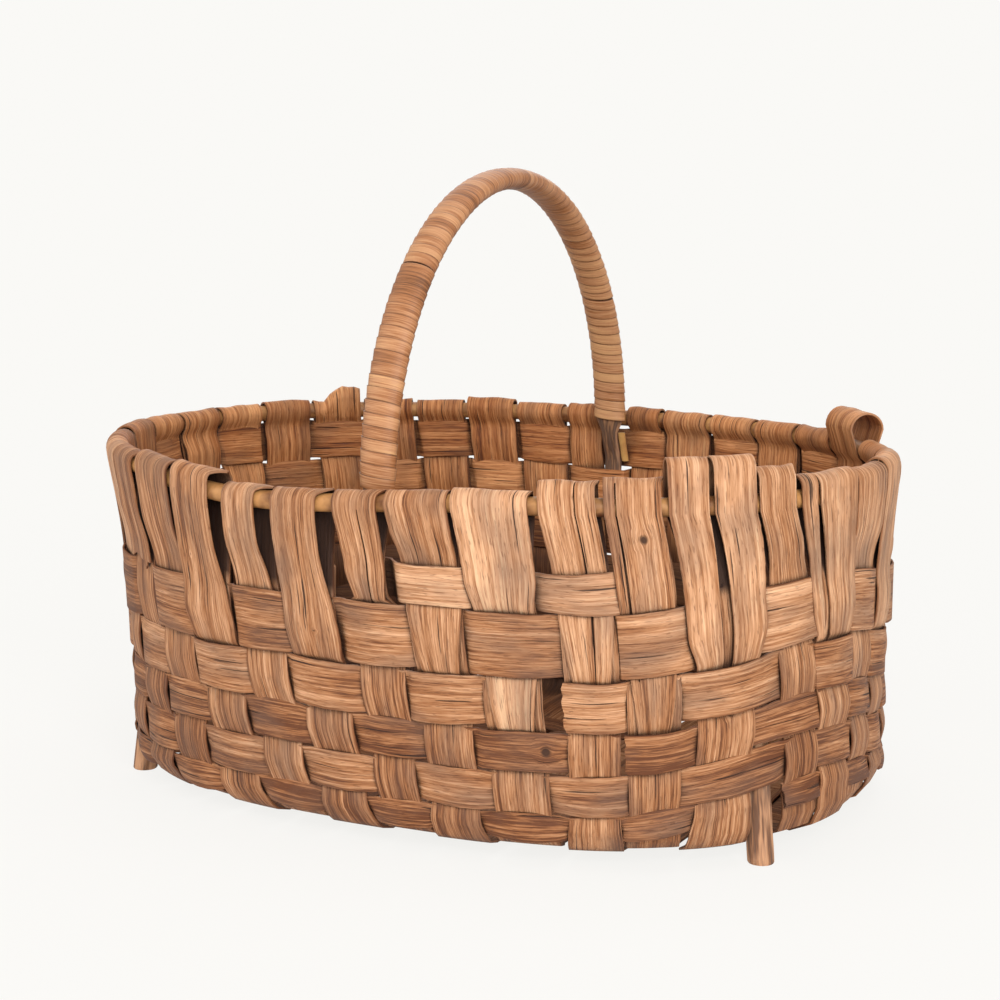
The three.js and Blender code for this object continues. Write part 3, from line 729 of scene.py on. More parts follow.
class Strip:
    """Rungs of a splint, laid one after another with the length so far."""

    def __init__(self, seed, width, splits=()):
        self.seed = seed
        self.width = width
        self.splits = splits
        self.columns = []
        for u in columns_across(STRIP_COLUMNS):
            if all(abs(u - split.across) > CLEAR_OF_SPLIT for split in splits):
                self.columns.append((u, None, 0))
        for split in splits:
            self.columns += [(split.across, split, -1), (split.across, split, 1)]
        self.columns.sort(key=lambda column: (column[0], column[2]))
        self.rungs = []
        self.spreads = []
        self.lengths = []
        self.reaches = []
        self.knots = []
        self.tones = []
        self.tail_shades = []

    def add(self, place, reach=0.0, hand=0, tone=0.0, tail_shade=0.0):
        """One rung: place gives the point at each share across, -1 to 1."""
        spread = []
        for u, split, side in self.columns:
            if split:
                open_width = max(split.width * split.taper(hand, reach), LEAST_SPLIT)
                u += side * open_width / self.width
            spread.append(u)
        self.lay([place(u) for u in spread], spread, reach, hand, tone, tail_shade)

    def lay(self, rung, spread, reach, hand, tone, tail_shade):
        """Adds a rung whose points are known."""
        length = 0.0
        if self.rungs:
            middle = len(rung) // 2
            step = (rung[middle] - self.rungs[-1][middle]).length
            length = self.lengths[-1] + step
        self.lengths.append(length)
        self.rungs.append(rung)
        self.spreads.append(spread)
        self.reaches.append((hand, reach))
        self.tones.append(tone)
        self.tail_shades.append(tail_shade)

    def step_at(self, u, reach, hand):
        """How far this place stands out because it is past an open split."""
        steps = [
            split.step * split.taper(hand, reach)
            for split in self.splits
            if (u - split.across) * split.hand > 0
        ]
        return sum(steps) * MM

    def add_knot(self, hand, reach, across, size):
        """A knot at the rung whose reach is nearest."""
        own = [i for i, (other, _) in enumerate(self.reaches) if other == hand]
        nearest = min(own, key=lambda i: abs(self.reaches[i][1] - reach))
        self.knots.append((self.lengths[nearest], across * self.width / 2, size))


def deselect_all():
    for item in bpy.context.selected_objects:
        item.select_set(False)


def laid_grid(name, rungs, lengths, width, seed, spreads=None):
    """Grid whose rows are laid on the rungs; its UV map is in metres of the real strip."""
    deselect_all()
    rows = len(rungs)
    across = len(rungs[0])
    bpy.ops.mesh.primitive_grid_add(
        x_subdivisions=across - 1, y_subdivisions=rows - 1, size=1, location=(0, 0, 0)
    )
    piece = bpy.context.active_object
    piece.name = name
    mesh = piece.data
    mesh.name = name
    flat = []
    for rung in rungs:
        for place in rung:
            flat.extend(place)
    mesh.vertices.foreach_set("co", flat)
    strip_map = mesh.uv_layers.active
    strip_map.name = "strip"
    for loop in mesh.loops:
        row, column = divmod(loop.vertex_index, across)
        spread = spreads[row][column] / 2 if spreads else column / (across - 1) - 0.5
        shifted = (lengths[row] + seed * MAP_SHIFT_ALONG, spread * width + seed * MAP_SHIFT_ACROSS)
        strip_map.data[loop.index].uv = shifted
    mesh.update()
    return piece


def add_knot_field(piece, strip):
    """Attribute that holds each place's way from the nearest knot, in sizes of that knot."""
    field = piece.data.attributes.new(name="knot", type="FLOAT_VECTOR", domain="POINT")
    across = len(strip.columns)
    for index, item in enumerate(field.data):
        row, column = divmod(index, across)
        nearest = (FAR_FROM_KNOT, FAR_FROM_KNOT, 0.0)
        for length, place, size in strip.knots:
            x = (strip.lengths[row] - length) / size
            y = (strip.spreads[row][column] * strip.width / 2 - place) / size
            if math.hypot(x, y) < math.hypot(nearest[0], nearest[1]):
                nearest = (x, y, 1.0 if math.hypot(x, y) < KNOT_REACH else 0.0)
        item.vector = nearest


def open_splits(piece, strip):
    """Takes out the narrow faces between the two sides of each split."""
    if not strip.splits:
        return
    mesh = piece.data
    mesh.vertices.foreach_set("select", [False] * len(mesh.vertices))
    mesh.edges.foreach_set("select", [False] * len(mesh.edges))
    for face in mesh.polygons:
        row, column = divmod(min(face.vertices), len(strip.columns))
        _, split, side = strip.columns[column]
        ends = strip.reaches[row : row + 2]
        face.select = side == -1 and all(split.taper(*end) for end in ends)
    bpy.context.tool_settings.mesh_select_mode = (False, False, True)
    bpy.ops.object.mode_set(mode="EDIT")
    bpy.ops.mesh.delete(type="FACE")
    bpy.ops.object.mode_set(mode="OBJECT")


def add_side_map(piece, strip):
    """Second UV map, 0 to 1 across: for wear along the edges, and painted shade on the winding."""
    mesh = piece.data
    across = len(strip.columns)
    side_map = mesh.uv_layers.new(name="sides")
    for loop in mesh.loops:
        row, column = divmod(loop.vertex_index, across)
        spread = (strip.spreads[row][column] + 1) / 2
        side_map.data[loop.index].uv = (row / len(strip.rungs), spread)
    mesh.uv_layers.active = mesh.uv_layers["strip"]


def set_along(piece, strip, name, values):
    """Attribute with one value for each rung of the strip."""
    attribute = piece.data.attributes.new(name=name, type="FLOAT", domain="POINT")
    for index, item in enumerate(attribute.data):
        item.value = values[index // len(strip.columns)]


def apply_modifiers(piece):
    bpy.context.view_layer.objects.active = piece
    for modifier in list(piece.modifiers):
        bpy.ops.object.modifier_apply(modifier=modifier.name)


def thicken(piece, thickness, edge):
    """Gives a laid strip its thickness and slightly rounded edges."""
    body = piece.modifiers.new("thickness", "SOLIDIFY")
    body.thickness = thickness
    body.offset = 0
    rounding = piece.modifiers.new("edge", "BEVEL")
    rounding.width = edge
    rounding.segments = 2
    rounding.limit_method = "ANGLE"
    rounding.angle_limit = SHARP_ANGLE
    apply_modifiers(piece)
    bpy.ops.object.shade_smooth_by_angle(angle=STRIP_SMOOTH_ANGLE)


def finish_piece(piece, material, nodes):
    """Gives a piece its material, hangs it under the root body and hides the parts of the model that
    it stands for.
    """
    piece.data.materials.clear()
    piece.data.materials.append(bpy.data.materials[material])
    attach(piece, "root")
    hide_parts(*nodes)


def splint_piece(name, strip, wall, material, seed):
    piece = laid_grid(name, strip.rungs, strip.lengths, strip.width, seed, strip.spreads)
    add_side_map(piece, strip)
    own = 0.5 + wobble(seed, 0.3, 1, OWN_TONE_CHANGE)
    tones = []
    for tone, length in zip(strip.tones, strip.lengths):
        tones.append(own + tone + wobble(seed, length, TONE_CHANGE_LENGTH, TONE_CHANGE))
    set_along(piece, strip, "tone", tones)
    set_along(piece, strip, "tail_shade", strip.tail_shades)
    add_knot_field(piece, strip)
    open_splits(piece, strip)
    thicken(piece, wall.thickness, EDGE_ROUNDING)
    finish_piece(piece, material, [name.removesuffix("_wood")])


def tube_piece(name, rungs, lengths, width, seed):
    """Round body through rings of points; rings of no size close its ends."""
    piece = laid_grid(name, rungs, lengths, width, seed)
    bpy.ops.object.mode_set(mode="EDIT")
    bpy.ops.mesh.select_all(action="SELECT")
    bpy.ops.mesh.remove_doubles(threshold=MERGE_DISTANCE)
    bpy.ops.mesh.normals_make_consistent(inside=False)
    bpy.ops.object.mode_set(mode="OBJECT")
    bpy.ops.object.shade_smooth_by_angle(angle=STICK_SMOOTH_ANGLE)
    return piece


# Stakes: tail, fold over the rod, run down the wall, and across the base


def edge_change(seed, u, length, edge):
    """Small unevenness of a split edge: slow all over, and fine at the very edge."""
    slow_size, slow, fine_size, fine = edge
    change = wobble(seed + (17 if u > 0 else 31), length, slow_size, slow)
    if abs(u) == 1:
        change += wobble(seed + (57 if u > 0 else 71), length, fine_size, fine)
    return change


def edge_place(strip, u, length, spread=0.0):
    """Share across a stake, with its uneven edges."""
    return u * (STAKE_EDGE_SHARE + spread + edge_change(strip.seed, u, length, STAKE_EDGE))


def tail_rungs(wall, strip, k, hand):
    """The folded tail outside the wall, from its end up to the rod."""
    end = wall.tail_end(k)
    curve = wall.tail_curve(k)
    pointed = len(wall.tucks[k]) > 1
    count = max(2, math.ceil((wall.rim_height - end) / RUNG_STEP))
    free_from = wall.row_tops[wall.tucks[k][0]] if wall.tucks[k] else end
    for i in range(count):
        plain = lerp(end, wall.rim_height, i / count)
        part = (plain - end) / (wall.rim_height - end)
        narrow = 1
        if pointed:
            narrow = lerp(TAIL_POINT_SHARE, 1, min(part / POINT_LENGTH_SHARE, 1))
        free = smooth_step((plain - free_from) / (wall.rim_height - free_from))
        belly = TAIL_BELLY * math.sin(math.pi * free) ** 2
        belly *= 1 if k < len(NEAR_STAKE_SHARES) else FAR_BELLY_SHARE
        torn = 1 - smooth_step(part / TORN_LENGTH_SHARE)

        def place(u):
            across = edge_place(strip, u, plain) * hand
            share = wall.tail_share(k, plain, across * narrow)
            height = plain
            if not wall.tucks[k]:
                corner = TORN_CORNER if across > TORN_CORNER_FROM else 0
                height += torn * (wobble(3, across, 0.3, TORN_DEPTH) - corner)
            step = strip.step_at(u, plain, hand)
            depth = curve.at(plain) + belly * lerp(MIDDLE_BELLY_SHARE, 1, u * u) + step
            return wall.stake_point(k, height, share, depth)

        strip.add(place, plain, hand, TAIL_TONES.get(k, 0))


def fold_rungs(wall, strip, k, hand):
    """The half turn over the rod, from outside to inside."""
    radius, rise = wall.fold_size(k)
    for i in range(FOLD_STEPS, -1, -1):
        angle = i / FOLD_STEPS * math.pi
        reach = wall.rim_height + (math.pi - angle) * wall.close_radius

        def place(u):
            across = edge_place(strip, u, wall.rim_height) * hand
            past_top = smooth_step((abs(angle / math.pi - 0.5) + FOLD_TOP_PINCH) / FOLD_PINCH_REACH)
            past_top *= 1 if angle > math.pi / 2 else RUN_PINCH_SHARE
            across *= lerp(1, wall.pinch(k, 0, across), past_top)
            share = wall.stake_share(k, wall.rim_height, across)
            step = strip.step_at(u, reach, hand)
            own = radius + step * (1 - math.cos(angle)) / 2
            spot = wall.point(share, wall.rim_height, -own * math.cos(angle))
            crease = wobble(k + 90, across, 0.7, FOLD_CREASE) * math.sin(angle)
            if k == RAISED_STAKE:
                crease += wobble(k, across, 0.12, BROKEN_TOP_ROUGHNESS) * math.sin(angle)
                crease -= rise * smooth_step(2 * across)
            spot.z += rise - wall.sag_at(share) + (own + 2 * abs(step)) * math.sin(angle) + crease
            return spot

        strip.add(place, reach, hand, TAIL_TONES.get(k, 0))


def run_rungs(wall, strip, k, hand):
    """The stake itself, from the rod down to the base, in and out of the rows."""
    curve = wall.run_curve(k)
    count = math.ceil(wall.rim_height / RUNG_STEP)
    for i in range(1, count + 1):
        plain = lerp(wall.rim_height, 0, i / count)
        spread = RUN_SPREAD * smooth_step(2 - 2 * plain / wall.rim_height)
        spread += FOOT_SPREAD * smooth_step(1 - plain / FOOT_SPREAD_HEIGHT)
        drop = wall.rim_height - plain
        # Painted shade on the stake where it is behind its own tail, above its top row
        tail_shade = smooth_step((plain - wall.top_of(k)) / TAIL_SHADE_FADE)

        def place(u):
            across = edge_place(strip, u, -plain, spread) * hand
            across *= lerp(1, wall.pinch(k, drop, across), RUN_PINCH_SHARE)
            share = wall.stake_share(k, plain, across)
            return wall.stake_point(k, plain, share, curve.at(plain))

        reach = wall.rim_height + drop
        strip.add(place, reach, hand, TAIL_TONES.get(k, 0) / 2, tail_shade)


def wall_strip(wall, strip, k, hand):
    """The half of a splint that is one stake, from the end of its tail to the base."""
    tail_rungs(wall, strip, k, hand)
    fold_rungs(wall, strip, k, hand)
    run_rungs(wall, strip, k, hand)


def foot_point(wall, k, side):
    """Where a splint leaves the wall for the base; side -1 and 1 are its edges there."""
    return wall.point(wall.base_shares[k] + side * BASE_STRIP_WIDTH / 2 / wall.rim.total, 0, 0)


def meet(a, b, c, d):
    """Where the line from a to b meets the line from c to d, seen from above: share of a-b."""
    ab = b - a
    cd = d - c
    ac = c - a
    return (ac.x * cd.y - ac.y * cd.x) / (ab.x * cd.y - ab.y * cd.x)


def base_rungs(wall, strip, ends, crossing, way):
    """The part of a splint under the basket, between the feet of its two stakes.

    The way is 0 for a crosswise splint and 1 for a lengthwise one, so that each goes over
    where the other goes under.
    """
    start, stop = ends
    a = foot_point(wall, start, 0)
    b = foot_point(wall, stop, 0)
    first = -wall.layer if wall.stake_outside(start, 0) else wall.layer
    last = -wall.layer if wall.stake_outside(stop, 0) else wall.layer
    keys = [(0, first), (1, last)]
    for other in crossing:
        sign = -1 if (ends[0] + other[way]) % 2 == way else 1
        edges = []
        for side in (-CROSSING_SHARE, CROSSING_SHARE):
            c = foot_point(wall, other[0], side)
            d = foot_point(wall, other[1], -side)
            edges.append(meet(a, b, c, d))
        low = min(edges)
        high = max(edges)
        keys.append((low, sign * wall.layer))
        keys.append(((low + high) / 2, sign * (wall.layer + BASE_BOW_SHARE * wall.bulge)))
        keys.append((high, sign * wall.layer))
    curve = Curve(keys)
    count = math.ceil((b - a).length / (1.4 * RUNG_STEP))
    for i in range(1, count):
        part = i / count

        def place(u):
            across = edge_place(strip, u, part * (b - a).length)
            from_point = foot_point(wall, start, across)
            to_point = foot_point(wall, stop, -across)
            spot = from_point.lerp(to_point, part)
            spot.z += curve.at(part)
            return spot

        strip.add(place)


def splits_of(wall, ends):
    """The splits in the tails of one splint."""
    splits = []
    for k, across, low, high, width, step in TAIL_SPLITS:
        for end, hand in zip(ends, (1, -1)):
            if k == end:
                reaches = [low * wall.rim_height, high * wall.rim_height]
                splits.append(Split(across, *reaches, width * MM, step, hand))
    return splits


def joined_strip(wall, seed, ends, crossing, way):
    """A whole splint: one stake, its strip of the base and the stake at its other end."""
    splits = splits_of(wall, ends)
    strip = Strip(seed, wall.sizes.stake_top_width, splits)
    wall_strip(wall, strip, ends[0], 1)
    base_rungs(wall, strip, ends, crossing, way)
    back = Strip(seed, strip.width, splits)
    wall_strip(wall, back, ends[1], -1)
    laid = zip(back.rungs, back.spreads, back.reaches, back.tones, back.tail_shades)
    for rung, spread, (hand, reach), tone, tail_shade in reversed(list(laid)):
        strip.lay(rung, spread, reach, hand, tone, tail_shade)
    add_tail_knots(wall, strip, ends)
    return strip


def add_tail_knots(wall, strip, ends):
    """The knots seen in the near tails, and a few anywhere along each splint."""
    for k, height, across, size in TAIL_KNOTS:
        for end, hand in zip(ends, (1, -1)):
            if k == end:
                strip.add_knot(hand, height * wall.rim_height, across * hand, size * MM)
    for i in range(KNOTS_ANYWHERE):
        place = clamp(0.5 + wobble(strip.seed + 200, i * 7.7, 1, 0.9), 0.05, 0.95)
        across = wobble(strip.seed + 230, i * 5.3, 1, 1.1) * strip.width / 2
        size = SMALLEST_KNOT + abs(wobble(strip.seed + 260, i * 3.1, 1, KNOT_SIZE_CHANGE))
        strip.knots.append((place * strip.lengths[-1], across, size))


def crosswise_ends(wall):
    """The near and the far stake of each crosswise splint."""
    return [(wrap_index(FIRST_CROSSWISE + i), wall.far_last - i) for i in range(CROSSWISE_COUNT)]


def lengthwise_ends(wall):
    """The right and the left stake of each lengthwise splint."""
    last = STAKE_COUNT + FIRST_CROSSWISE - 1
    return [(wall.long_side_last + 1 + i, last - i) for i in range(LENGTHWISE_COUNT)]


# Weavers


class WeaverPath:
    """Rungs of one weaver: cells where it crosses stakes, and free places between."""

    def __init__(self, wall, row, seed):
        self.wall = wall
        self.row = row
        self.low = wall.row_bottoms[row]
        self.high = wall.row_tops[row]
        self.stops = []
        self.keys = []
        self.seed = seed

    def mark(self, at_low, at_high, depth, real, over_tail=0.0):
        """A stop along the row: shares at its lower and upper edge, and its depth."""
        along = (at_low + at_high) / 2
        push = 0
        if self.stops:
            last = self.stops[-1][0]
            push = round(last - along)
            push = max(push, last + LEAST_STOP_SHARE - along)
        along += push
        self.stops.append((along, at_low + push, at_high + push, over_tail))
        if real:
            self.keys.append((along * self.wall.rim.total, depth))

    def cell(self, k):
        """The stops where the row crosses a stake."""
        wall = self.wall
        depth = wall.weaver_offset(k, self.row)
        sign = 1 if depth > 0 else -1
        reach = 1 + sign * CELL_REACH
        over_tail = 1.0 if depth > 2 * wall.layer else 0.0
        bow = wall.bow(k, self.row) + over_tail * BOW_OVER_TAIL
        for i in range(CELL_STEPS):
            side = (2 * i / (CELL_STEPS - 1) - 1) * reach
            at_low = wall.stake_share(k, self.low, side)
            at_high = wall.stake_share(k, self.high, side)
            if i in (0, CELL_STEPS - 1):
                self.mark(at_low, at_high, depth, True, over_tail)
            elif 2 * i == CELL_STEPS - 1:
                self.mark(at_low, at_high, depth + sign * bow, True, over_tail)
            else:
                self.mark(at_low, at_high, 0, False, over_tail)

    def free(self, share, depth):
        """A stop between the cells."""
        self.mark(share, share, depth, True)

    def far_edge(self, k):
        """Only the last edge of a stake, after the row has passed behind a handle foot."""
        wall = self.wall
        at_low = wall.stake_share(k, self.low, 1)
        at_high = wall.stake_share(k, self.high, 1)
        self.mark(at_low, at_high, wall.weaver_offset(k, self.row), True)

    def strip(self):
        """The finished strip of this row."""
        wall = self.wall
        curve = Curve(self.keys)
        strip = Strip(self.seed, self.high - self.low)
        stops = self.filled_stops()
        for i, (along, at_low, at_high, over_tail) in enumerate(stops):
            length = along * wall.rim.total
            at_end = (i == len(stops) - 1) - (i == 0)
            wander = wobble(self.seed + 21, length, 75 * MM, ROW_WANDER)

            def place(u):
                part = (self.edge_share(u, length) + 1) / 2
                ragged = wobble(self.seed + 5, u, 0.4, RAGGED_END) - RAGGED_CUT
                share = lerp(at_low, at_high, part) + at_end * ragged / wall.rim.total
                height = lerp(self.low, self.high, part) + wander
                depth = curve.at(length)
                side = clamp(depth / wall.layer, -1, 1) * (1 - over_tail)
                depth -= ROW_CURL * u * u * side
                depth -= (ROW_TILT + wobble(self.seed + 9, length, 40 * MM, ROW_TILT)) * u * side
                return wall.point(share, height + wall.rise_at(share), depth)

            centre, most = NEAR_ROW_TONES.get(self.row, (0, 0))
            strip.add(place, along % 1, 1, hump_at(along, centre, ROW_TONE_REACH, most))
        for row, share, across, size in ROW_KNOTS:
            if row == self.row:
                strip.add_knot(1, share, across, size * MM)
        return strip

    def edge_share(self, u, length):
        """Share across: the row is a little wider than its cell, with uneven edges."""
        half = (self.high - self.low) / 2
        return u * (1 + (ROW_SPREAD + edge_change(self.seed, u, length, ROW_EDGE)) / half)

    def filled_stops(self):
        """The stops with others between them, so that no step is long."""
        stops = [self.stops[0]]
        for here, after in zip(self.stops, self.stops[1:]):
            span = (after[0] - here[0]) * self.wall.rim.total
            extra = math.ceil(span / RUNG_STEP)
            for i in range(1, extra):
                stops.append(tuple(lerp(a, b, i / extra) for a, b in zip(here, after)))
            stops.append(after)
        return stops


def corner_after(wall):
    """The stakes that the four corners come right after."""
    last = STAKE_COUNT + FIRST_CROSSWISE - 1
    return [wall.long_side_last, wall.far_first - 1, wall.far_last, last]


def corner_share(wall, k):
    """Share half way between the foot of a stake and the next one."""
    own = wall.base_shares[k]
    after = wall.base_shares[wrap_index(k + 1)]
    if after < own:
        after += 1
    return (own + after) / 2


def ring_strip(wall, row, start, seed):
    """A row that goes all round; the lowest of them passes outside the legs."""
    path = WeaverPath(wall, row, seed)
    reach = wall.sizes.leg_radius / 2 / wall.rim.total
    for i in range(STAKE_COUNT):
        k = wrap_index(start + i)
        before = wrap_index(k - 1)
        if i and row == LEG_ROW and before in corner_after(wall):
            middle = corner_share(wall, before)
            path.free(middle - reach, wall.layer)
            path.free(middle + reach, wall.layer)
        path.cell(k)
    return path.strip()


def run_strip(wall, row, first, last, seed):
    """A row that passes only some stakes, and goes behind the feet of the handle."""
    path = WeaverPath(wall, row, seed)
    overrun = WEAVER_OVERRUN / wall.rim.total
    start = wrap_index(first)
    if row == 0:
        share = wall.stake_share(start, wall.row_bottoms[0], -1) - overrun
        path.free(share, wall.weaver_offset(start, 0))
    if row == SHORT_ROW and first == HANDLE_STAKE + 1:
        handle_detour(wall, path, NEAR_MIDDLE_SHARE + HANDLE_X / wall.rim.total)
    for k in range(first, last + 1):
        if row == SHORT_ROW and k == FAR_HANDLE_STAKE:
            handle_detour(wall, path, FAR_MIDDLE_SHARE - HANDLE_X / wall.rim.total)
            path.far_edge(k)
            continue
        path.cell(wrap_index(k))
    if row == 0:
        share = wall.stake_share(wrap_index(last), wall.row_bottoms[0], 1) + overrun
        path.free(share, wall.weaver_offset(wrap_index(last), 0))
    return path.strip()


def handle_seat(wall):
    """How far inside the wall the middle of a handle foot sits."""
    return wall.thickness / 2 + wall.layer + FIT_GAP + FOOT_HALF_THICKNESS


def handle_detour(wall, path, share):
    """Takes a row round behind the handle foot at this share."""
    depth = -(handle_seat(wall) + FOOT_HALF_THICKNESS + FIT_GAP + wall.thickness / 2)
    reach = (FOOT_HALF_WIDTH + FIT_GAP) / wall.rim.total
    path.free(share - reach, depth)
    path.free(share + reach, depth)


# Rod, handle, winding and legs


def ring_points(centre, first_axis, second_axis, first_reach, second_reach, count):
    points = []
    for i in range(count + 1):
        angle = 2 * math.pi * i / count
        reach = first_axis * (first_reach * math.cos(angle))
        points.append(centre + reach + second_axis * (second_reach * math.sin(angle)))
    return points


def rim_rod_piece(wall):
    """The rod is one closed ring, so it starts as a torus."""
    deselect_all()
    bpy.ops.mesh.primitive_torus_add(major_segments=ROD_STEPS, minor_segments=ROD_SIDES)
    piece = bpy.context.active_object
    piece.name = "rim_rod_wood"
    flat = []
    for i in range(ROD_STEPS):
        share = i / ROD_STEPS
        length = share * wall.rim.total
        radius = wall.sizes.rod_radius - ROD_ROUGHNESS + wobble(3, length, 45 * MM, ROD_ROUGHNESS)
        for j in range(ROD_SIDES):
            angle = 2 * math.pi * j / ROD_SIDES
            spot = wall.point(share, wall.rim_height, radius * math.cos(angle))
            spot.z += radius * math.sin(angle) - wall.sag_at(share)
            flat.extend(spot)
    piece.data.vertices.foreach_set("co", flat)
    piece.data.update()
    bpy.ops.object.mode_set(mode="EDIT")
    bpy.ops.mesh.select_all(action="SELECT")
    bpy.ops.mesh.normals_make_consistent(inside=False)
    bpy.ops.object.mode_set(mode="OBJECT")
    bpy.ops.object.shade_smooth()
    return piece


class Handle:
    """Half ellipse above the rim, whose feet bend out and down along the wall."""

    def __init__(self, wall):
        self.wall = wall
        self.wrap_half_thickness = CORE_HALF_THICKNESS + WRAP_CLEARANCE + WRAP_THICKNESS
        fold_inset = wall.sizes.rod_radius + FIT_GAP + wall.thickness
        self.half_span = wall.sizes.rim_half_width - fold_inset - FIT_GAP - self.wrap_half_thickness
        self.rise = wall.sizes.arch_rise
        self.lengths = [0.0]
        spots = [self.spot(math.pi * i / ARCH_SAMPLES)[0] for i in range(ARCH_SAMPLES + 1)]
        for a, b in zip(spots, spots[1:]):
            self.lengths.append(self.lengths[-1] + (b - a).length)
        self.total = self.lengths[-1]

    def spot(self, angle):
        """Centre of the arch at an angle, and the ways along it and away from its middle."""
        centre = Vector((HANDLE_X, 0, self.wall.rim_height + BASE_LIFT)) + self.wall.shift
        reach = Vector((0, -self.half_span * math.cos(angle), self.rise * math.sin(angle)))
        tangent = Vector((0, self.half_span * math.sin(angle), self.rise * math.cos(angle)))
        tangent.normalize()
        outward = Vector((0, -tangent.z, tangent.y))
        return centre + reach, tangent, outward

    def angle_at(self, along):
        """Angle of the place that lies so far along the arch."""
        low, part = place_in(self.lengths, clamp(along, 0, self.total))
        return math.pi * (low + part) / ARCH_SAMPLES

    def foot(self, side, drop, seated):
        """Centre of a foot so far below the rim, seated on its stake or still under the arch."""
        wall = self.wall
        height = wall.rim_height - drop
        wall_y = lerp(wall.sizes.base_half_width, wall.sizes.rim_half_width, wall.flare(height))
        y = wall_y - handle_seat(wall) if seated else self.half_span
        centre = Vector((HANDLE_X, side * y, height + BASE_LIFT)) + wall.shift
        return centre, Vector((0, side, 0))


def foot_spots(handle, side):
    """Centres, outward ways and half sizes of one foot, from its tip up to the arch."""
    bend_end = HANDLE_BEND_DROP + HANDLE_BEND_LENGTH
    spots = []
    for i in range(FOOT_STEPS + 1):
        drop = lerp(HANDLE_FOOT_DEPTH, bend_end, i / FOOT_STEPS)
        spots.append((*handle.foot(side, drop, True), FOOT_HALF_WIDTH, FOOT_HALF_THICKNESS))
    high, _ = handle.foot(side, HANDLE_BEND_DROP, False)
    low, outward = handle.foot(side, bend_end, True)
    for i in range(1, BEND_STEPS + 1):
        centre = low.lerp(high, i / BEND_STEPS)
        centre.y = lerp(low.y, high.y, smooth_step(i / BEND_STEPS))
        spots.append((centre, outward, FOOT_HALF_WIDTH, FOOT_HALF_THICKNESS))
    tip = (spots[0][0], outward, 0.0, 0.0)
    return [tip, *spots]


def handle_core_piece(handle):
    """One bent stick: the near foot, the arch and the far foot."""
    spots = foot_spots(handle, -1)
    for i in range(ARCH_STEPS + 1):
        centre, _, outward = handle.spot(math.pi * i / ARCH_STEPS)
        spots.append((centre, outward, CORE_HALF_WIDTH, CORE_HALF_THICKNESS))
    spots += reversed(foot_spots(handle, 1))
    rungs = []
    lengths = []
    along = 0.0
    last = spots[0][0]
    for centre, outward, half_width, half_thickness in spots:
        along += (centre - last).length
        last = centre
        rough = 1 + wobble(5, along, 9 * MM, CORE_ROUGHNESS)
        reaches = (half_width * rough, half_thickness * rough)
        rungs.append(ring_points(centre, X_AXIS, outward, *reaches, CORE_SIDES))
        lengths.append(along)
    return tube_piece("handle_core_wood", rungs, lengths, CORE_GIRTH, CORE_SEED)


def handle_wrap_piece(wall, handle):
    """One long narrow splint, each turn lapping the one before it."""
    turns = wall.sizes.wrap_turns
    pitch = handle.total / (turns + 1)
    mid_width = CORE_HALF_WIDTH + WRAP_CLEARANCE + WRAP_THICKNESS / 2
    mid_thickness = CORE_HALF_THICKNESS + WRAP_CLEARANCE + WRAP_THICKNESS / 2
    strip = Strip(WRAP_SEED, pitch)
    strip.columns = [(u, None, 0) for u in columns_across(WRAP_COLUMNS)]
    for i in range(turns * WRAP_STEPS + 1):
        turn = i / WRAP_STEPS
        angle = 2 * math.pi * turn
        shift = wobble(11, turn, 1.7, WRAP_SHIFT_SHARE) * pitch
        along = clamp(pitch * (0.5 + turn) + shift, 0, handle.total)
        centre, tangent, outward = handle.spot(handle.angle_at(along))
        width = pitch * (WRAP_WIDTH_SHARE + wobble(12, turn, 2.3, WRAP_WIDTH_CHANGE))

        def place(u):
            lap = (WRAP_LAP + wobble(13, turn, 1.3, WRAP_LAP_CHANGE)) * u - WRAP_SINK
            spot = centre + outward * ((mid_thickness + lap) * math.sin(angle))
            spot.x += (mid_width + lap) * math.cos(angle)
            return spot + tangent * (u * width / 2)

        strip.add(place)
    piece = laid_grid("handle_wrap_wood", strip.rungs, strip.lengths, pitch, WRAP_SEED)
    add_side_map(piece, strip)
    thicken(piece, WRAP_STRIP_THICKNESS, WRAP_EDGE_ROUNDING)
    return piece


def stick_rungs(spots, radii, sides):
    """Rings round the centres of a stick, with the length so far, also across its ends."""
    rungs = []
    lengths = [0.0]
    for i, (spot, radius) in enumerate(zip(spots, radii)):
        rungs.append(ring_points(spot, X_AXIS, Y_AXIS, radius, radius, sides))
        if i:
            step = (spot - spots[i - 1]).length + abs(radius - radii[i - 1])
            lengths.append(lengths[-1] + step)
    return rungs, lengths


def side_stick_piece(handle):
    """Thin stick beside the far foot of the handle, where it bends from the arch to the wall."""
    bend_end = HANDLE_BEND_DROP + HANDLE_BEND_LENGTH
    shift = Vector((FOOT_HALF_WIDTH + FIT_GAP + SIDE_STICK_RADIUS, 0, 0))
    low = handle.foot(1, bend_end, True)[0] + shift
    high = handle.foot(1, HANDLE_BEND_DROP, False)[0] + shift
    spots = [low]
    radii = [0.0]
    for i in range(STICK_STEPS + 1):
        spots.append(low.lerp(high, i / STICK_STEPS))
        radii.append(SIDE_STICK_RADIUS * (STICK_FULLNESS + wobble(9, i, 2, CORE_ROUGHNESS)))
    spots.append(high)
    radii.append(0.0)
    rungs, lengths = stick_rungs(spots, radii, STICK_SIDES)
    return tube_piece("handle_side_stick_wood", rungs, lengths, SIDE_STICK_GIRTH, SIDE_STICK_SEED)


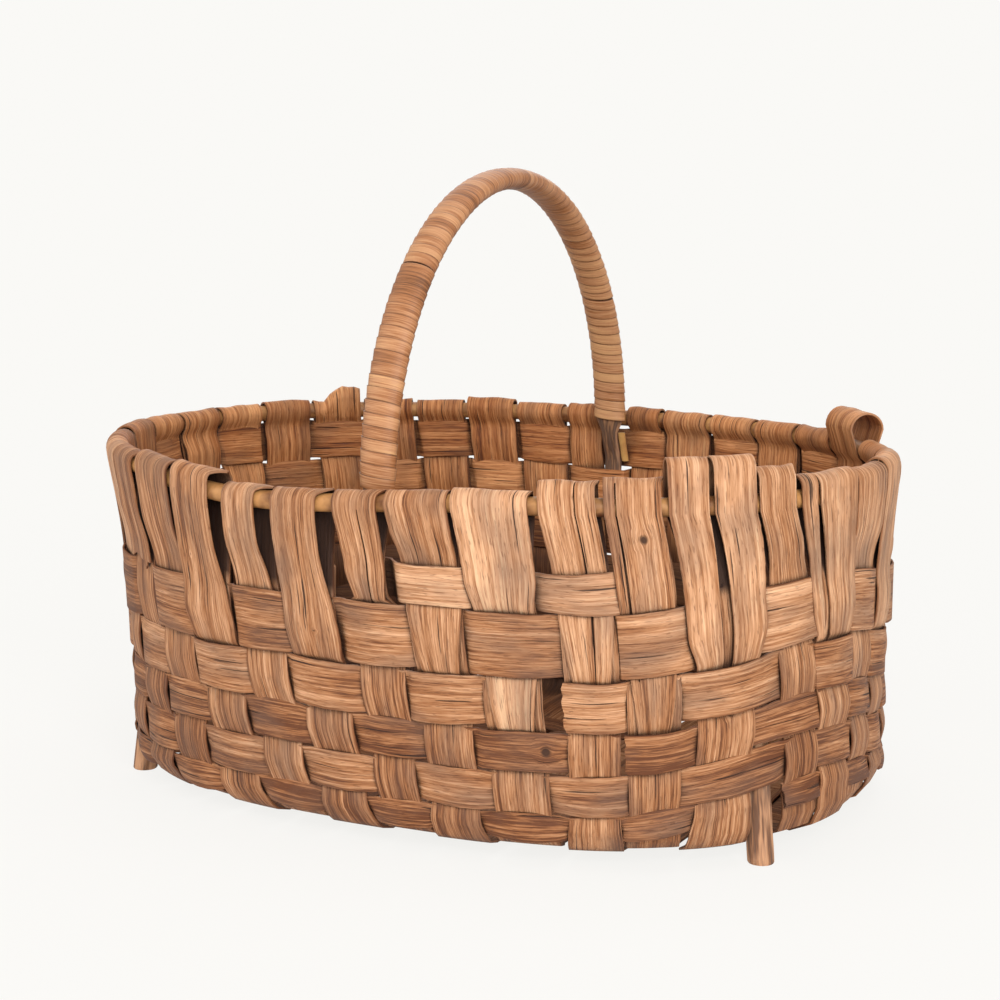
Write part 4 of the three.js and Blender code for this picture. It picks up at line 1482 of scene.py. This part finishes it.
def leg_piece(wall, name, k, seed):
    """Leg at the corner after a stake, leaning in against it, with chamfered ends."""
    share = corner_share(wall, k)
    radius = wall.sizes.leg_radius
    seat_height = wall.row_bottoms[LEG_ROW] + wall.rise_at(share)
    seat = wall.layer - wall.thickness / 2 - FIT_GAP - radius
    low = -BASE_LIFT

    def axis(height):
        return wall.upright_point(share, height, seat - (height - seat_height) * LEG_LEAN)

    spots = [axis(low), axis(low)]
    radii = [0.0, radius - LEG_CHAMFER]
    for i in range(LEG_STEPS + 1):
        height = lerp(low + LEG_CHAMFER, LEG_TOP_HEIGHT - LEG_CHAMFER, i / LEG_STEPS)
        spots.append(axis(height))
        radii.append(radius * (STICK_FULLNESS + wobble(seed, height, 16 * MM, LEG_ROUGHNESS)))
    spots += [axis(LEG_TOP_HEIGHT), axis(LEG_TOP_HEIGHT)]
    radii += [radius - LEG_CHAMFER, 0.0]
    rungs, lengths = stick_rungs(spots, radii, LEG_SIDES)
    for rung, centre in zip(rungs, spots):
        for j in range(LEG_SIDES + 1):
            ridge = wobble(seed + 3, (j % LEG_SIDES) * 1.7, 1, LEG_RIDGE)
            rung[j] = centre + (rung[j] - centre) * (1 + ridge)
    return tube_piece(f"{name}_wood", rungs, lengths, LEG_GIRTH, seed)


# Materials

DRY_WOOD_IOR = 1.4
SPLINT_TONE = -1.44
WEAVER_TONE = -1.53
WINDING_TONE = -0.62
CORNER_REACH = 16 * MM

# Marks along a strip: length and width in millimetres, and where their pattern starts
FIBRE = (15, 0.65, 0.0)
LINE = (85, 1.5, 1.7)
BAND = (190, 7.5, 3.1)
CLOUD = (48, 20, 5.7)
CRACK = (55, 1.5, 9.3)
PORE = (7, 0.8, 6.1)
TURN_FIBRE = (22, 0.7, 0.0)
TURN_BAND = (60, 2.6, 2.2)
TURN_TONE = (70, 40, 7.7)
RIDGE = (26, 1.6, 0.0)
WORN_PATCH = (34, 4, 4.4)


def add_node(tree, kind, inputs=None, out=0, stops=(), **fields):
    """Adds a node with its fields, its input values or links and its stops; gives an output."""
    node = tree.nodes.new(kind)
    for field, value in fields.items():
        setattr(node, field, value)
    for socket, value in (inputs or {}).items():
        if isinstance(value, bpy.types.NodeSocket):
            tree.links.new(value, node.inputs[socket])
        else:
            node.inputs[socket].default_value = value
    for index, (place, colour) in enumerate(stops):
        elements = node.color_ramp.elements
        element = elements[index] if index < 2 else elements.new(place)
        element.position = place
        element.color = colour
    return node.outputs[out] if node.outputs else None


def new_material(name):
    material = bpy.data.materials.new(name)
    material.use_nodes = True
    material.node_tree.nodes.clear()
    return material.node_tree


def streaks(tree, source, along, across, shift, detail=3.0):
    """Noise drawn out along a strip; its marks are about these sizes in millimetres."""
    scale = (1 / (along * MM), 1 / (across * MM), 1 / (across * MM))
    inputs = {"Vector": source, "Location": (shift, shift, shift), "Scale": scale}
    place = add_node(tree, "ShaderNodeMapping", inputs)
    return add_node(tree, "ShaderNodeTexNoise", {"Vector": place, "Scale": 1.0, "Detail": detail})


def weighted_sum(tree, start, parts):
    """Start value plus each pattern times its weight."""
    total = start
    for pattern, weight in parts:
        inputs = {0: pattern, 1: weight, 2: total}
        total = add_node(tree, "ShaderNodeMath", inputs, operation="MULTIPLY_ADD")
    return total


def painted(tree, colour, layers):
    """The colour with others laid over it: each with the pattern that shows it, and strength."""
    for other, pattern, strength in layers:
        share = add_node(tree, "ShaderNodeMath", {0: pattern, 1: strength}, operation="MULTIPLY")
        inputs = {0: share, 6: colour, 7: other}
        colour = add_node(tree, "ShaderNodeMix", inputs, out=2, data_type="RGBA")
    return colour


def finish_material(tree, colour, roughness, height, depth, rough_low, rough_high):
    """Shader, bump and output: height is a 0 to 1 pattern, depth its real depth."""
    normal = add_node(tree, "ShaderNodeBump", {"Height": height, "Distance": depth})
    rough = add_node(tree, "ShaderNodeMapRange", {0: roughness, 3: rough_low, 4: rough_high})
    inputs = {"Base Color": colour, "Roughness": rough, "Normal": normal, "IOR": DRY_WOOD_IOR}
    shader = add_node(tree, "ShaderNodeBsdfPrincipled", inputs)
    add_node(tree, "ShaderNodeOutputMaterial", {"Surface": shader})


def knot_marks(tree, strip_map):
    """The strip map pushed aside by the knots, and how far each place is from a knot."""
    field = add_node(tree, "ShaderNodeAttribute", attribute_name="knot", out=1)
    along = add_node(tree, "ShaderNodeSeparateXYZ", {0: field}, out=0)
    across = add_node(tree, "ShaderNodeSeparateXYZ", {0: field}, out=1)
    near = add_node(tree, "ShaderNodeSeparateXYZ", {0: field}, out=2)
    flat = add_node(tree, "ShaderNodeCombineXYZ", {0: along, 1: across})
    far = add_node(tree, "ShaderNodeVectorMath", {0: flat}, out=1, operation="LENGTH")
    spread = add_node(tree, "ShaderNodeMath", {0: far, 1: far, 2: 0.6}, operation="MULTIPLY_ADD")
    push = add_node(tree, "ShaderNodeMath", {0: across, 1: spread}, operation="DIVIDE")
    near = add_node(tree, "ShaderNodeMapRange", {0: near, 1: 0.6, 2: 1.0})
    push = add_node(tree, "ShaderNodeMath", {0: push, 1: near}, operation="MULTIPLY")
    push = add_node(tree, "ShaderNodeMath", {0: push, 1: KNOT_PUSH}, operation="MULTIPLY")
    shift = add_node(tree, "ShaderNodeCombineXYZ", {1: push})
    pushed = add_node(tree, "ShaderNodeVectorMath", {0: strip_map, 1: shift}, operation="SUBTRACT")
    far = add_node(tree, "ShaderNodeMix", {0: near, 2: FAR_FROM_KNOT, 3: far}, data_type="FLOAT")
    return pushed, far


def edge_wear_and_shade(tree, from_share):
    """0 in the middle of a strip, rising to 1 at its edges."""
    side_map = add_node(tree, "ShaderNodeUVMap", uv_map="sides")
    across = add_node(tree, "ShaderNodeSeparateXYZ", {0: side_map}, out=1)
    middle = add_node(tree, "ShaderNodeMath", {0: across, 1: 0.5}, operation="SUBTRACT")
    middle = add_node(tree, "ShaderNodeMath", {0: middle}, operation="ABSOLUTE")
    return add_node(tree, "ShaderNodeMapRange", {0: middle, 1: from_share / 2, 2: 0.5})


def inward(tree):
    """1 on faces that look towards the middle of the basket, 0 on the others."""
    place = add_node(tree, "ShaderNodeTexCoord", out=3)
    flat = add_node(tree, "ShaderNodeVectorMath", {0: place, 1: (1, 2, 0)}, operation="MULTIPLY")
    way = add_node(tree, "ShaderNodeVectorMath", {0: flat}, operation="NORMALIZE")
    normal = add_node(tree, "ShaderNodeNewGeometry", out=1)
    ways = {0: way, 1: normal}
    facing = add_node(tree, "ShaderNodeVectorMath", ways, out=1, operation="DOT_PRODUCT")
    return add_node(tree, "ShaderNodeMapRange", {0: facing, 1: 0.1, 2: -0.3})


def bare_grain(tree, colours, strip_map, fibre, line, height, tone_start):
    """Colour of the clean wood: fibres, lines and bands, and the own tone of each piece."""
    band = streaks(tree, strip_map, *BAND)
    tone = add_node(tree, "ShaderNodeAttribute", attribute_name="tone", out=2)
    # Darker towards the bottom of the basket
    low_down = add_node(tree, "ShaderNodeMapRange", {0: height, 1: 150 * MM, 2: 60 * MM})
    parts = [(fibre, 1.1), (line, 1.3), (band, 0.9), (tone, 0.5), (low_down, -0.2)]
    grain = weighted_sum(tree, tone_start, parts)
    stops = [
        (0.02, colours.wood_dark),
        (0.26, colours.wood_brown),
        (0.5, colours.wood_mid),
        (0.74, colours.wood_warm),
        (1.0, colours.wood_light),
    ]
    return add_node(tree, "ShaderNodeValToRGB", {0: grain}, stops=stops)


def marks_of_age(tree, strip_map, fibre, from_knot):
    """Where the wood has pores, cracks and knots."""
    pore = streaks(tree, strip_map, *PORE, detail=1.0)
    pores = add_node(tree, "ShaderNodeMapRange", {0: pore, 1: 0.37, 2: 0.3})
    crack = streaks(tree, strip_map, *CRACK, detail=1.0)
    cracks = add_node(tree, "ShaderNodeMapRange", {0: crack, 1: 0.3, 2: 0.26})
    ragged = weighted_sum(tree, from_knot, [(fibre, 0.5)])
    knots = add_node(tree, "ShaderNodeMapRange", {0: ragged, 1: 1.25, 2: 0.75})
    return pores, cracks, knots


def darker_inside(tree, wood, colours, height):
    """Warmer inside, with painted shade and soil low down there, and painted shade where a stake is
    behind its own tail.
    """
    inside = inward(tree)
    tint = {0: inside, 6: wood, 7: colours.inner}
    mixing = {"data_type": "RGBA", "blend_type": "MULTIPLY"}
    tinted = add_node(tree, "ShaderNodeMix", tint, out=2, **mixing)
    # Painted shade and soil on the inward faces, darker towards the bottom
    deep = add_node(tree, "ShaderNodeMapRange", {0: height, 1: 160 * MM, 2: 110 * MM})
    shaded_and_soiled = add_node(tree, "ShaderNodeMath", {0: deep, 1: inside}, operation="MULTIPLY")
    # Painted shade on the outer face of a stake behind its own tail
    tail_shade = add_node(tree, "ShaderNodeAttribute", attribute_name="tail_shade", out=2)
    outer = add_node(tree, "ShaderNodeMath", {0: 1.0, 1: inside}, operation="SUBTRACT")
    shade_behind_tail = add_node(tree, "ShaderNodeMath", {0: tail_shade, 1: outer}, operation="MULTIPLY")
    return painted(tree, tinted, [(colours.shade_and_soil, shaded_and_soiled, 0.8), (colours.crack, shade_behind_tail, 0.95)])


def corner_shading(tree):
    """1 deep in the corners where splints cross, 0 in the open."""
    reach = {"Distance": CORNER_REACH}
    # Painted shade: ambient occlusion darkens the corners where splints cross
    open_share = add_node(tree, "ShaderNodeAmbientOcclusion", reach, out=1, samples=6)
    return add_node(tree, "ShaderNodeMapRange", {0: open_share, 1: 0.7, 2: 0.28})


def rived_wood(name, colours, tone_start):
    """Ash or oak split along the grain and browned with age.

    The eye sees long fibres with short dark pores, broad light and dark bands, cracks and
    knots, grey grime in clouds, and painted shade where the splints cross and inside. The
    pores are drawn about twice as wide as real ones, so that they show.
    """
    tree = new_material(name)
    plain_map = add_node(tree, "ShaderNodeUVMap", uv_map="strip")
    strip_map, from_knot = knot_marks(tree, plain_map)
    place = add_node(tree, "ShaderNodeTexCoord", out=3)
    height = add_node(tree, "ShaderNodeSeparateXYZ", {0: place}, out=2)
    fibre = streaks(tree, strip_map, *FIBRE)
    line = streaks(tree, strip_map, *LINE)
    wood = bare_grain(tree, colours, strip_map, fibre, line, height, tone_start)
    cloud = streaks(tree, plain_map, *CLOUD)
    grimy = add_node(tree, "ShaderNodeMapRange", {0: cloud, 1: 0.44, 2: 0.72})
    pores, cracks, knots = marks_of_age(tree, strip_map, fibre, from_knot)
    marks = [
        (colours.grime, grimy, 0.62),
        (colours.wood_dark, pores, 0.42),
        (colours.crack, cracks, 0.9),
        (colours.crack, knots, 0.9),
    ]
    wood = painted(tree, wood, marks)
    wood = darker_inside(tree, wood, colours, height)
    # Painted shade in the corners where splints cross, in the crack colour
    shading = [(colours.crack, corner_shading(tree), 0.97)]
    wear = [(colours.wood_dark, edge_wear_and_shade(tree, 0.9), 0.35)]
    wood = painted(tree, wood, shading + wear)
    forms = [(fibre, 0.5), (line, 0.8), (cracks, -0.9), (knots, -0.6), (pores, -0.25)]
    relief = weighted_sum(tree, 0.0, forms)
    finish_material(tree, wood, fibre, relief, 0.8 * MM, 0.55, 0.85)


def wound_wood(colours):
    """Thin splint wound wet on the handle and polished by hands.

    The eye sees fine lines along each turn, painted shade on the edges where a turn laps the
    next, and painted light on the far leg.
    """
    tree = new_material("wound_splint_wood")
    strip_map = add_node(tree, "ShaderNodeUVMap", uv_map="strip")
    fibre = streaks(tree, strip_map, *TURN_FIBRE)
    band = streaks(tree, strip_map, *TURN_BAND)
    turn_tone = streaks(tree, strip_map, *TURN_TONE, detail=1.0)
    place = add_node(tree, "ShaderNodeTexCoord", out=3)
    across = add_node(tree, "ShaderNodeSeparateXYZ", {0: place}, out=1)
    # Painted light: the far leg of the winding is made lighter
    painted_far_leg_light = add_node(tree, "ShaderNodeMapRange", {0: across, 1: 40 * MM, 2: 170 * MM})
    parts = [(fibre, 0.95), (band, 0.4), (turn_tone, 0.9), (painted_far_leg_light, 0.18)]
    grain = weighted_sum(tree, WINDING_TONE, parts)
    stops = [
        (0.15, colours.wrap_dark),
        (0.42, colours.wood_brown),
        (0.62, colours.wood_mid),
        (0.9, colours.wrap_light),
    ]
    wood = add_node(tree, "ShaderNodeValToRGB", {0: grain}, stops=stops)
    # Painted shade along the edges where one turn laps the next
    wood = painted(tree, wood, [(colours.wrap_dark, edge_wear_and_shade(tree, 0.8), 0.95)])
    relief = weighted_sum(tree, 0.0, [(fibre, 0.6), (band, 1.0)])
    finish_material(tree, wood, fibre, relief, 0.35 * MM, 0.42, 0.62)


def peeled_wood(name, light, dark):
    """Peeled shoot, cut green and dried: smooth and light, with faint brown marks."""
    tree = new_material(name)
    place = add_node(tree, "ShaderNodeTexCoord", out=3)
    noises = []
    for size, detail in ((14 * MM, 3.0), (1.5 * MM, 2.0)):
        inputs = {"Vector": place, "Scale": 1 / size, "Detail": detail}
        noises.append(add_node(tree, "ShaderNodeTexNoise", inputs))
    marks, fine = noises
    wood = add_node(tree, "ShaderNodeValToRGB", {0: marks}, stops=[(0.32, dark), (0.62, light)])
    finish_material(tree, wood, fine, fine, 0.12 * MM, 0.42, 0.6)


def bark_wood(name, colours, bark, worn_low):
    """Stick with worn bark: ridges along it, with lighter wood showing through."""
    tree = new_material(name)
    strip_map = add_node(tree, "ShaderNodeUVMap", uv_map="strip")
    ridge = streaks(tree, strip_map, *RIDGE)
    worn = streaks(tree, strip_map, *WORN_PATCH, detail=2.0)
    stops = [(0.3, colours.grime), (0.52, bark), (0.74, colours.wood_mid)]
    wood = add_node(tree, "ShaderNodeValToRGB", {0: ridge}, stops=stops)
    bare = add_node(tree, "ShaderNodeMapRange", {0: worn, 1: worn_low, 2: worn_low + 0.16})
    wood = painted(tree, wood, [(colours.wood_warm, bare, 0.85)])
    finish_material(tree, wood, ridge, ridge, 0.7 * MM, 0.65, 0.9)


# Operators


class BASKET_OT_materials(bpy.types.Operator):
    """Makes the woods of the basket"""

    bl_idname = "basket.materials"
    bl_label = "Make the woods"

    def execute(self, context):
        colours = context.scene.basket_colours
        rived_wood("rived_splint_wood", colours, SPLINT_TONE)
        rived_wood("rived_weaver_wood", colours, WEAVER_TONE)
        wound_wood(colours)
        peeled_wood("peeled_rod_wood", colours.rod, colours.wood_dark)
        peeled_wood("peeled_stick_wood", colours.stick, colours.rod)
        bark_wood("core_bark", colours, colours.bark, 0.62)
        bark_wood("leg_bark", colours, colours.leg_bark, 0.45)
        return {"FINISHED"}


class BASKET_OT_splints(bpy.types.Operator):
    """Lays the eighteen splints, each a stake, a strip of the base and a stake again"""

    bl_idname = "basket.splints"
    bl_label = "Lay the splints"

    def execute(self, context):
        wall = Wall(context.scene.basket_sizes)
        material = "rived_splint_wood"
        crosswise = crosswise_ends(wall)
        lengthwise = lengthwise_ends(wall)
        turned = [(far, near) for near, far in reversed(crosswise)]
        kinds = [("crosswise", crosswise, lengthwise), ("lengthwise", lengthwise, turned)]
        seed = 0
        for way, (kind, splints, crossing) in enumerate(kinds):
            for i, ends in enumerate(splints):
                strip = joined_strip(wall, seed, ends, crossing, way)
                name = f"{kind}_splint_{i + 1:02d}_wood"
                splint_piece(name, strip, wall, material, seed)
                seed += 1
        return {"FINISHED"}


class BASKET_OT_weavers(bpy.types.Operator):
    """Weaves the rows round the wall"""

    bl_idname = "basket.weavers"
    bl_label = "Weave the rows"

    def execute(self, context):
        wall = Wall(context.scene.basket_sizes)
        material = "rived_weaver_wood"
        last = STAKE_COUNT + FIRST_CROSSWISE - 1
        runs = [
            ("weaver_row_1_near", 0, FIRST_CROSSWISE, wall.long_side_last),
            ("weaver_row_1_right", 0, wall.long_side_last + 1, wall.far_first - 1),
            ("weaver_row_1_far", 0, wall.far_first, wall.far_last),
            ("weaver_row_1_left", 0, wall.far_last + 1, last),
            ("weaver_row_6_near", SHORT_ROW, HANDLE_STAKE + 1, SHORT_ROW_LAST),
            ("weaver_row_6_far", SHORT_ROW, FAR_SHORT_ROW_FIRST, FAR_SHORT_ROW_LAST),
            ("weaver_row_7_far", TOP_ROW, TOP_ROW_FIRST, TOP_ROW_LAST),
        ]
        seed = FIRST_ROW_SEED
        for name, row, first, final in runs:
            strip = run_strip(wall, row, first, final, seed)
            splint_piece(f"{name}_wood", strip, wall, material, seed)
            seed += 1
        for row, start in ROW_STARTS.items():
            strip = ring_strip(wall, row, start, seed)
            name = f"weaver_row_{row + 1}_wood"
            splint_piece(name, strip, wall, material, seed)
            seed += 1
        return {"FINISHED"}


class BASKET_OT_rod(bpy.types.Operator):
    """Bends the rod that the stakes fold over"""

    bl_idname = "basket.rod"
    bl_label = "Bend the rim rod"

    def execute(self, context):
        piece = rim_rod_piece(Wall(context.scene.basket_sizes))
        finish_piece(piece, "peeled_rod_wood", ["rim_rod"])
        return {"FINISHED"}


class BASKET_OT_handle(bpy.types.Operator):
    """Makes the handle core, its side stick and its winding"""

    bl_idname = "basket.handle"
    bl_label = "Make the handle"

    def execute(self, context):
        wall = Wall(context.scene.basket_sizes)
        handle = Handle(wall)
        piece = handle_core_piece(handle)
        finish_piece(piece, "core_bark", ["handle_core"])
        piece = handle_wrap_piece(wall, handle)
        finish_piece(piece, "wound_splint_wood", ["handle_wrap"])
        piece = side_stick_piece(handle)
        finish_piece(piece, "peeled_stick_wood", ["handle_side_stick"])
        return {"FINISHED"}


class BASKET_OT_legs(bpy.types.Operator):
    """Cuts the four legs"""

    bl_idname = "basket.legs"
    bl_label = "Cut the legs"

    def execute(self, context):
        wall = Wall(context.scene.basket_sizes)
        names = ["leg_near_right", "leg_far_right", "leg_far_left", "leg_near_left"]
        for i, (name, k) in enumerate(zip(names, corner_after(wall))):
            piece = leg_piece(wall, name, k, FIRST_LEG_SEED + i)
            finish_piece(piece, "leg_bark", [name])
        return {"FINISHED"}


# Stage: camera at the photograph's angle, pale floor and soft studio light

CAMERA_AZIMUTH = math.radians(26.2)
CAMERA_ELEVATION = math.radians(10.0)
CAMERA_DISTANCE = 1500 * MM
CAMERA_LENS = 80.1
CAMERA_TARGET = Vector((10.3 * MM, 0, 186.5 * MM))
CAMERA_SHIFT_RIGHT = -4.4 * MM
CAMERA_SHIFT_UP = 1.6 * MM
FLOOR_SHADOW_REACH = 400 * MM
FLOOR_WHITE_SHARE = 0.89
WORLD_LIGHT = 0.36
WHITE_SEEN = 0.955
SENSOR_WIDTH = 36
NEAREST_SEEN = 50 * MM
FLOOR_RADIUS = 40
LIGHT_AIM = Vector((0, 0, 0.15))
# Lamps: name, place and side of the square in metres, and power in watts
LAMPS = [
    ("key", (1.5, -2.0, 1.3), 1.4, 63),
    ("fill", (-2.0, -1.6, 1.3), 2.0, 23),
    ("top", (0.2, 0.2, 2.6), 1.8, 18),
    ("back", (-0.9, 2.2, 1.4), 2.0, 22),
]


def add_camera():
    back = Vector((
        math.sin(CAMERA_AZIMUTH) * math.cos(CAMERA_ELEVATION),
        -math.cos(CAMERA_AZIMUTH) * math.cos(CAMERA_ELEVATION),
        math.sin(CAMERA_ELEVATION),
    ))
    right = Vector((math.cos(CAMERA_AZIMUTH), math.sin(CAMERA_AZIMUTH), 0))
    above = back.cross(right)
    place = CAMERA_TARGET + back * CAMERA_DISTANCE
    place += right * CAMERA_SHIFT_RIGHT + above * CAMERA_SHIFT_UP
    deselect_all()
    bpy.ops.object.camera_add(location=place)
    camera = bpy.context.active_object
    camera.name = "camera"
    camera.rotation_euler = back.to_track_quat("Z", "Y").to_euler()
    camera.data.lens = CAMERA_LENS
    camera.data.sensor_width = SENSOR_WIDTH
    camera.data.clip_start = NEAREST_SEEN
    bpy.context.scene.camera = camera


def seen_directly(tree):
    """1 for what the camera sees, also in gloss or through glass, and 0 for other light."""
    camera = add_node(tree, "ShaderNodeLightPath", out=0)
    glossy = add_node(tree, "ShaderNodeLightPath", out=3)
    passed = add_node(tree, "ShaderNodeLightPath", out=6)
    seen = add_node(tree, "ShaderNodeMath", {0: camera, 1: glossy}, operation="MAXIMUM")
    return add_node(tree, "ShaderNodeMath", {0: seen, 1: passed}, operation="MAXIMUM")


def backdrop_material(colours):
    """Pale paper: takes the soft shadow, and turns to plain white away from the object."""
    tree = new_material("backdrop_paper")
    place = add_node(tree, "ShaderNodeTexCoord", out=3)
    away = add_node(tree, "ShaderNodeVectorMath", {0: place}, out=1, operation="LENGTH")
    fade = {0: away, 1: FLOOR_SHADOW_REACH, 2: 3 * FLOOR_SHADOW_REACH, 3: FLOOR_WHITE_SHARE, 4: 1}
    share = add_node(tree, "ShaderNodeMapRange", fade)
    seen = seen_directly(tree)
    share = add_node(tree, "ShaderNodeMath", {0: share, 1: seen}, operation="MULTIPLY")
    paper = add_node(tree, "ShaderNodeBsdfDiffuse", {"Color": colours.floor})
    white = add_node(tree, "ShaderNodeEmission", {"Color": colours.white, "Strength": WHITE_SEEN})
    mixed = add_node(tree, "ShaderNodeMixShader", {0: share, 1: paper, 2: white})
    add_node(tree, "ShaderNodeOutputMaterial", {"Surface": mixed})


def add_floor(colours):
    deselect_all()
    bpy.ops.mesh.primitive_circle_add(vertices=96, radius=FLOOR_RADIUS, fill_type="NGON")
    floor = bpy.context.active_object
    floor.name = "floor"
    backdrop_material(colours)
    floor.data.materials.append(bpy.data.materials["backdrop_paper"])


def add_light(name, place, size, strength):
    deselect_all()
    bpy.ops.object.light_add(type="AREA", location=place)
    lamp = bpy.context.active_object
    lamp.name = name
    lamp.data.shape = "SQUARE"
    lamp.data.size = size
    lamp.data.energy = strength
    aim = LIGHT_AIM - Vector(place)
    lamp.rotation_euler = aim.to_track_quat("-Z", "Y").to_euler()


def add_world(colours):
    """Even light from all round, seen as white where the camera looks past the floor."""
    world = bpy.data.worlds.new("studio")
    bpy.context.scene.world = world
    world.use_nodes = True
    tree = world.node_tree
    tree.nodes.clear()
    reach = {0: seen_directly(tree), 3: WORLD_LIGHT, 4: WHITE_SEEN}
    inputs = {"Color": colours.white, "Strength": add_node(tree, "ShaderNodeMapRange", reach)}
    background = add_node(tree, "ShaderNodeBackground", inputs)
    add_node(tree, "ShaderNodeOutputWorld", {"Surface": background})


class BASKET_OT_stage(bpy.types.Operator):
    """Sets the camera, the floor and the lamps"""

    bl_idname = "basket.stage"
    bl_label = "Set the stage"

    def execute(self, context):
        add_camera()
        add_floor(context.scene.basket_colours)
        for lamp in LAMPS:
            add_light(*lamp)
        add_world(context.scene.basket_colours)
        context.scene.view_settings.view_transform = "Standard"
        return {"FINISHED"}


class BASKET_PT_panel(bpy.types.Panel):
    """Buttons and settings of the basket"""

    bl_idname = "BASKET_PT_panel"
    bl_label = "Woven basket"
    bl_space_type = "VIEW_3D"
    bl_region_type = "UI"
    bl_category = "Basket"

    def draw(self, context):
        layout = self.layout
        for settings in (context.scene.basket_sizes, context.scene.basket_colours):
            for key in settings.__annotations__:
                layout.prop(settings, key)
        for operator in OPERATORS:
            layout.operator(operator.bl_idname)


OPERATORS = [
    BASKET_OT_materials,
    BASKET_OT_splints,
    BASKET_OT_weavers,
    BASKET_OT_rod,
    BASKET_OT_handle,
    BASKET_OT_legs,
    BASKET_OT_stage,
]
CLASSES = [BasketSizes, BasketColours, *OPERATORS, BASKET_PT_panel]


def register():
    for item in CLASSES:
        bpy.utils.register_class(item)
    bpy.types.Scene.basket_sizes = bpy.props.PointerProperty(type=BasketSizes)
    bpy.types.Scene.basket_colours = bpy.props.PointerProperty(type=BasketColours)


def unregister():
    del bpy.types.Scene.basket_colours
    del bpy.types.Scene.basket_sizes
    for item in reversed(CLASSES):
        bpy.utils.unregister_class(item)


def main():
    register()
    bpy.ops.basket.materials()
    bpy.ops.basket.splints()
    bpy.ops.basket.weavers()
    bpy.ops.basket.rod()
    bpy.ops.basket.handle()
    bpy.ops.basket.legs()
    bpy.ops.basket.stage()


if __name__ == "__main__":
    main()
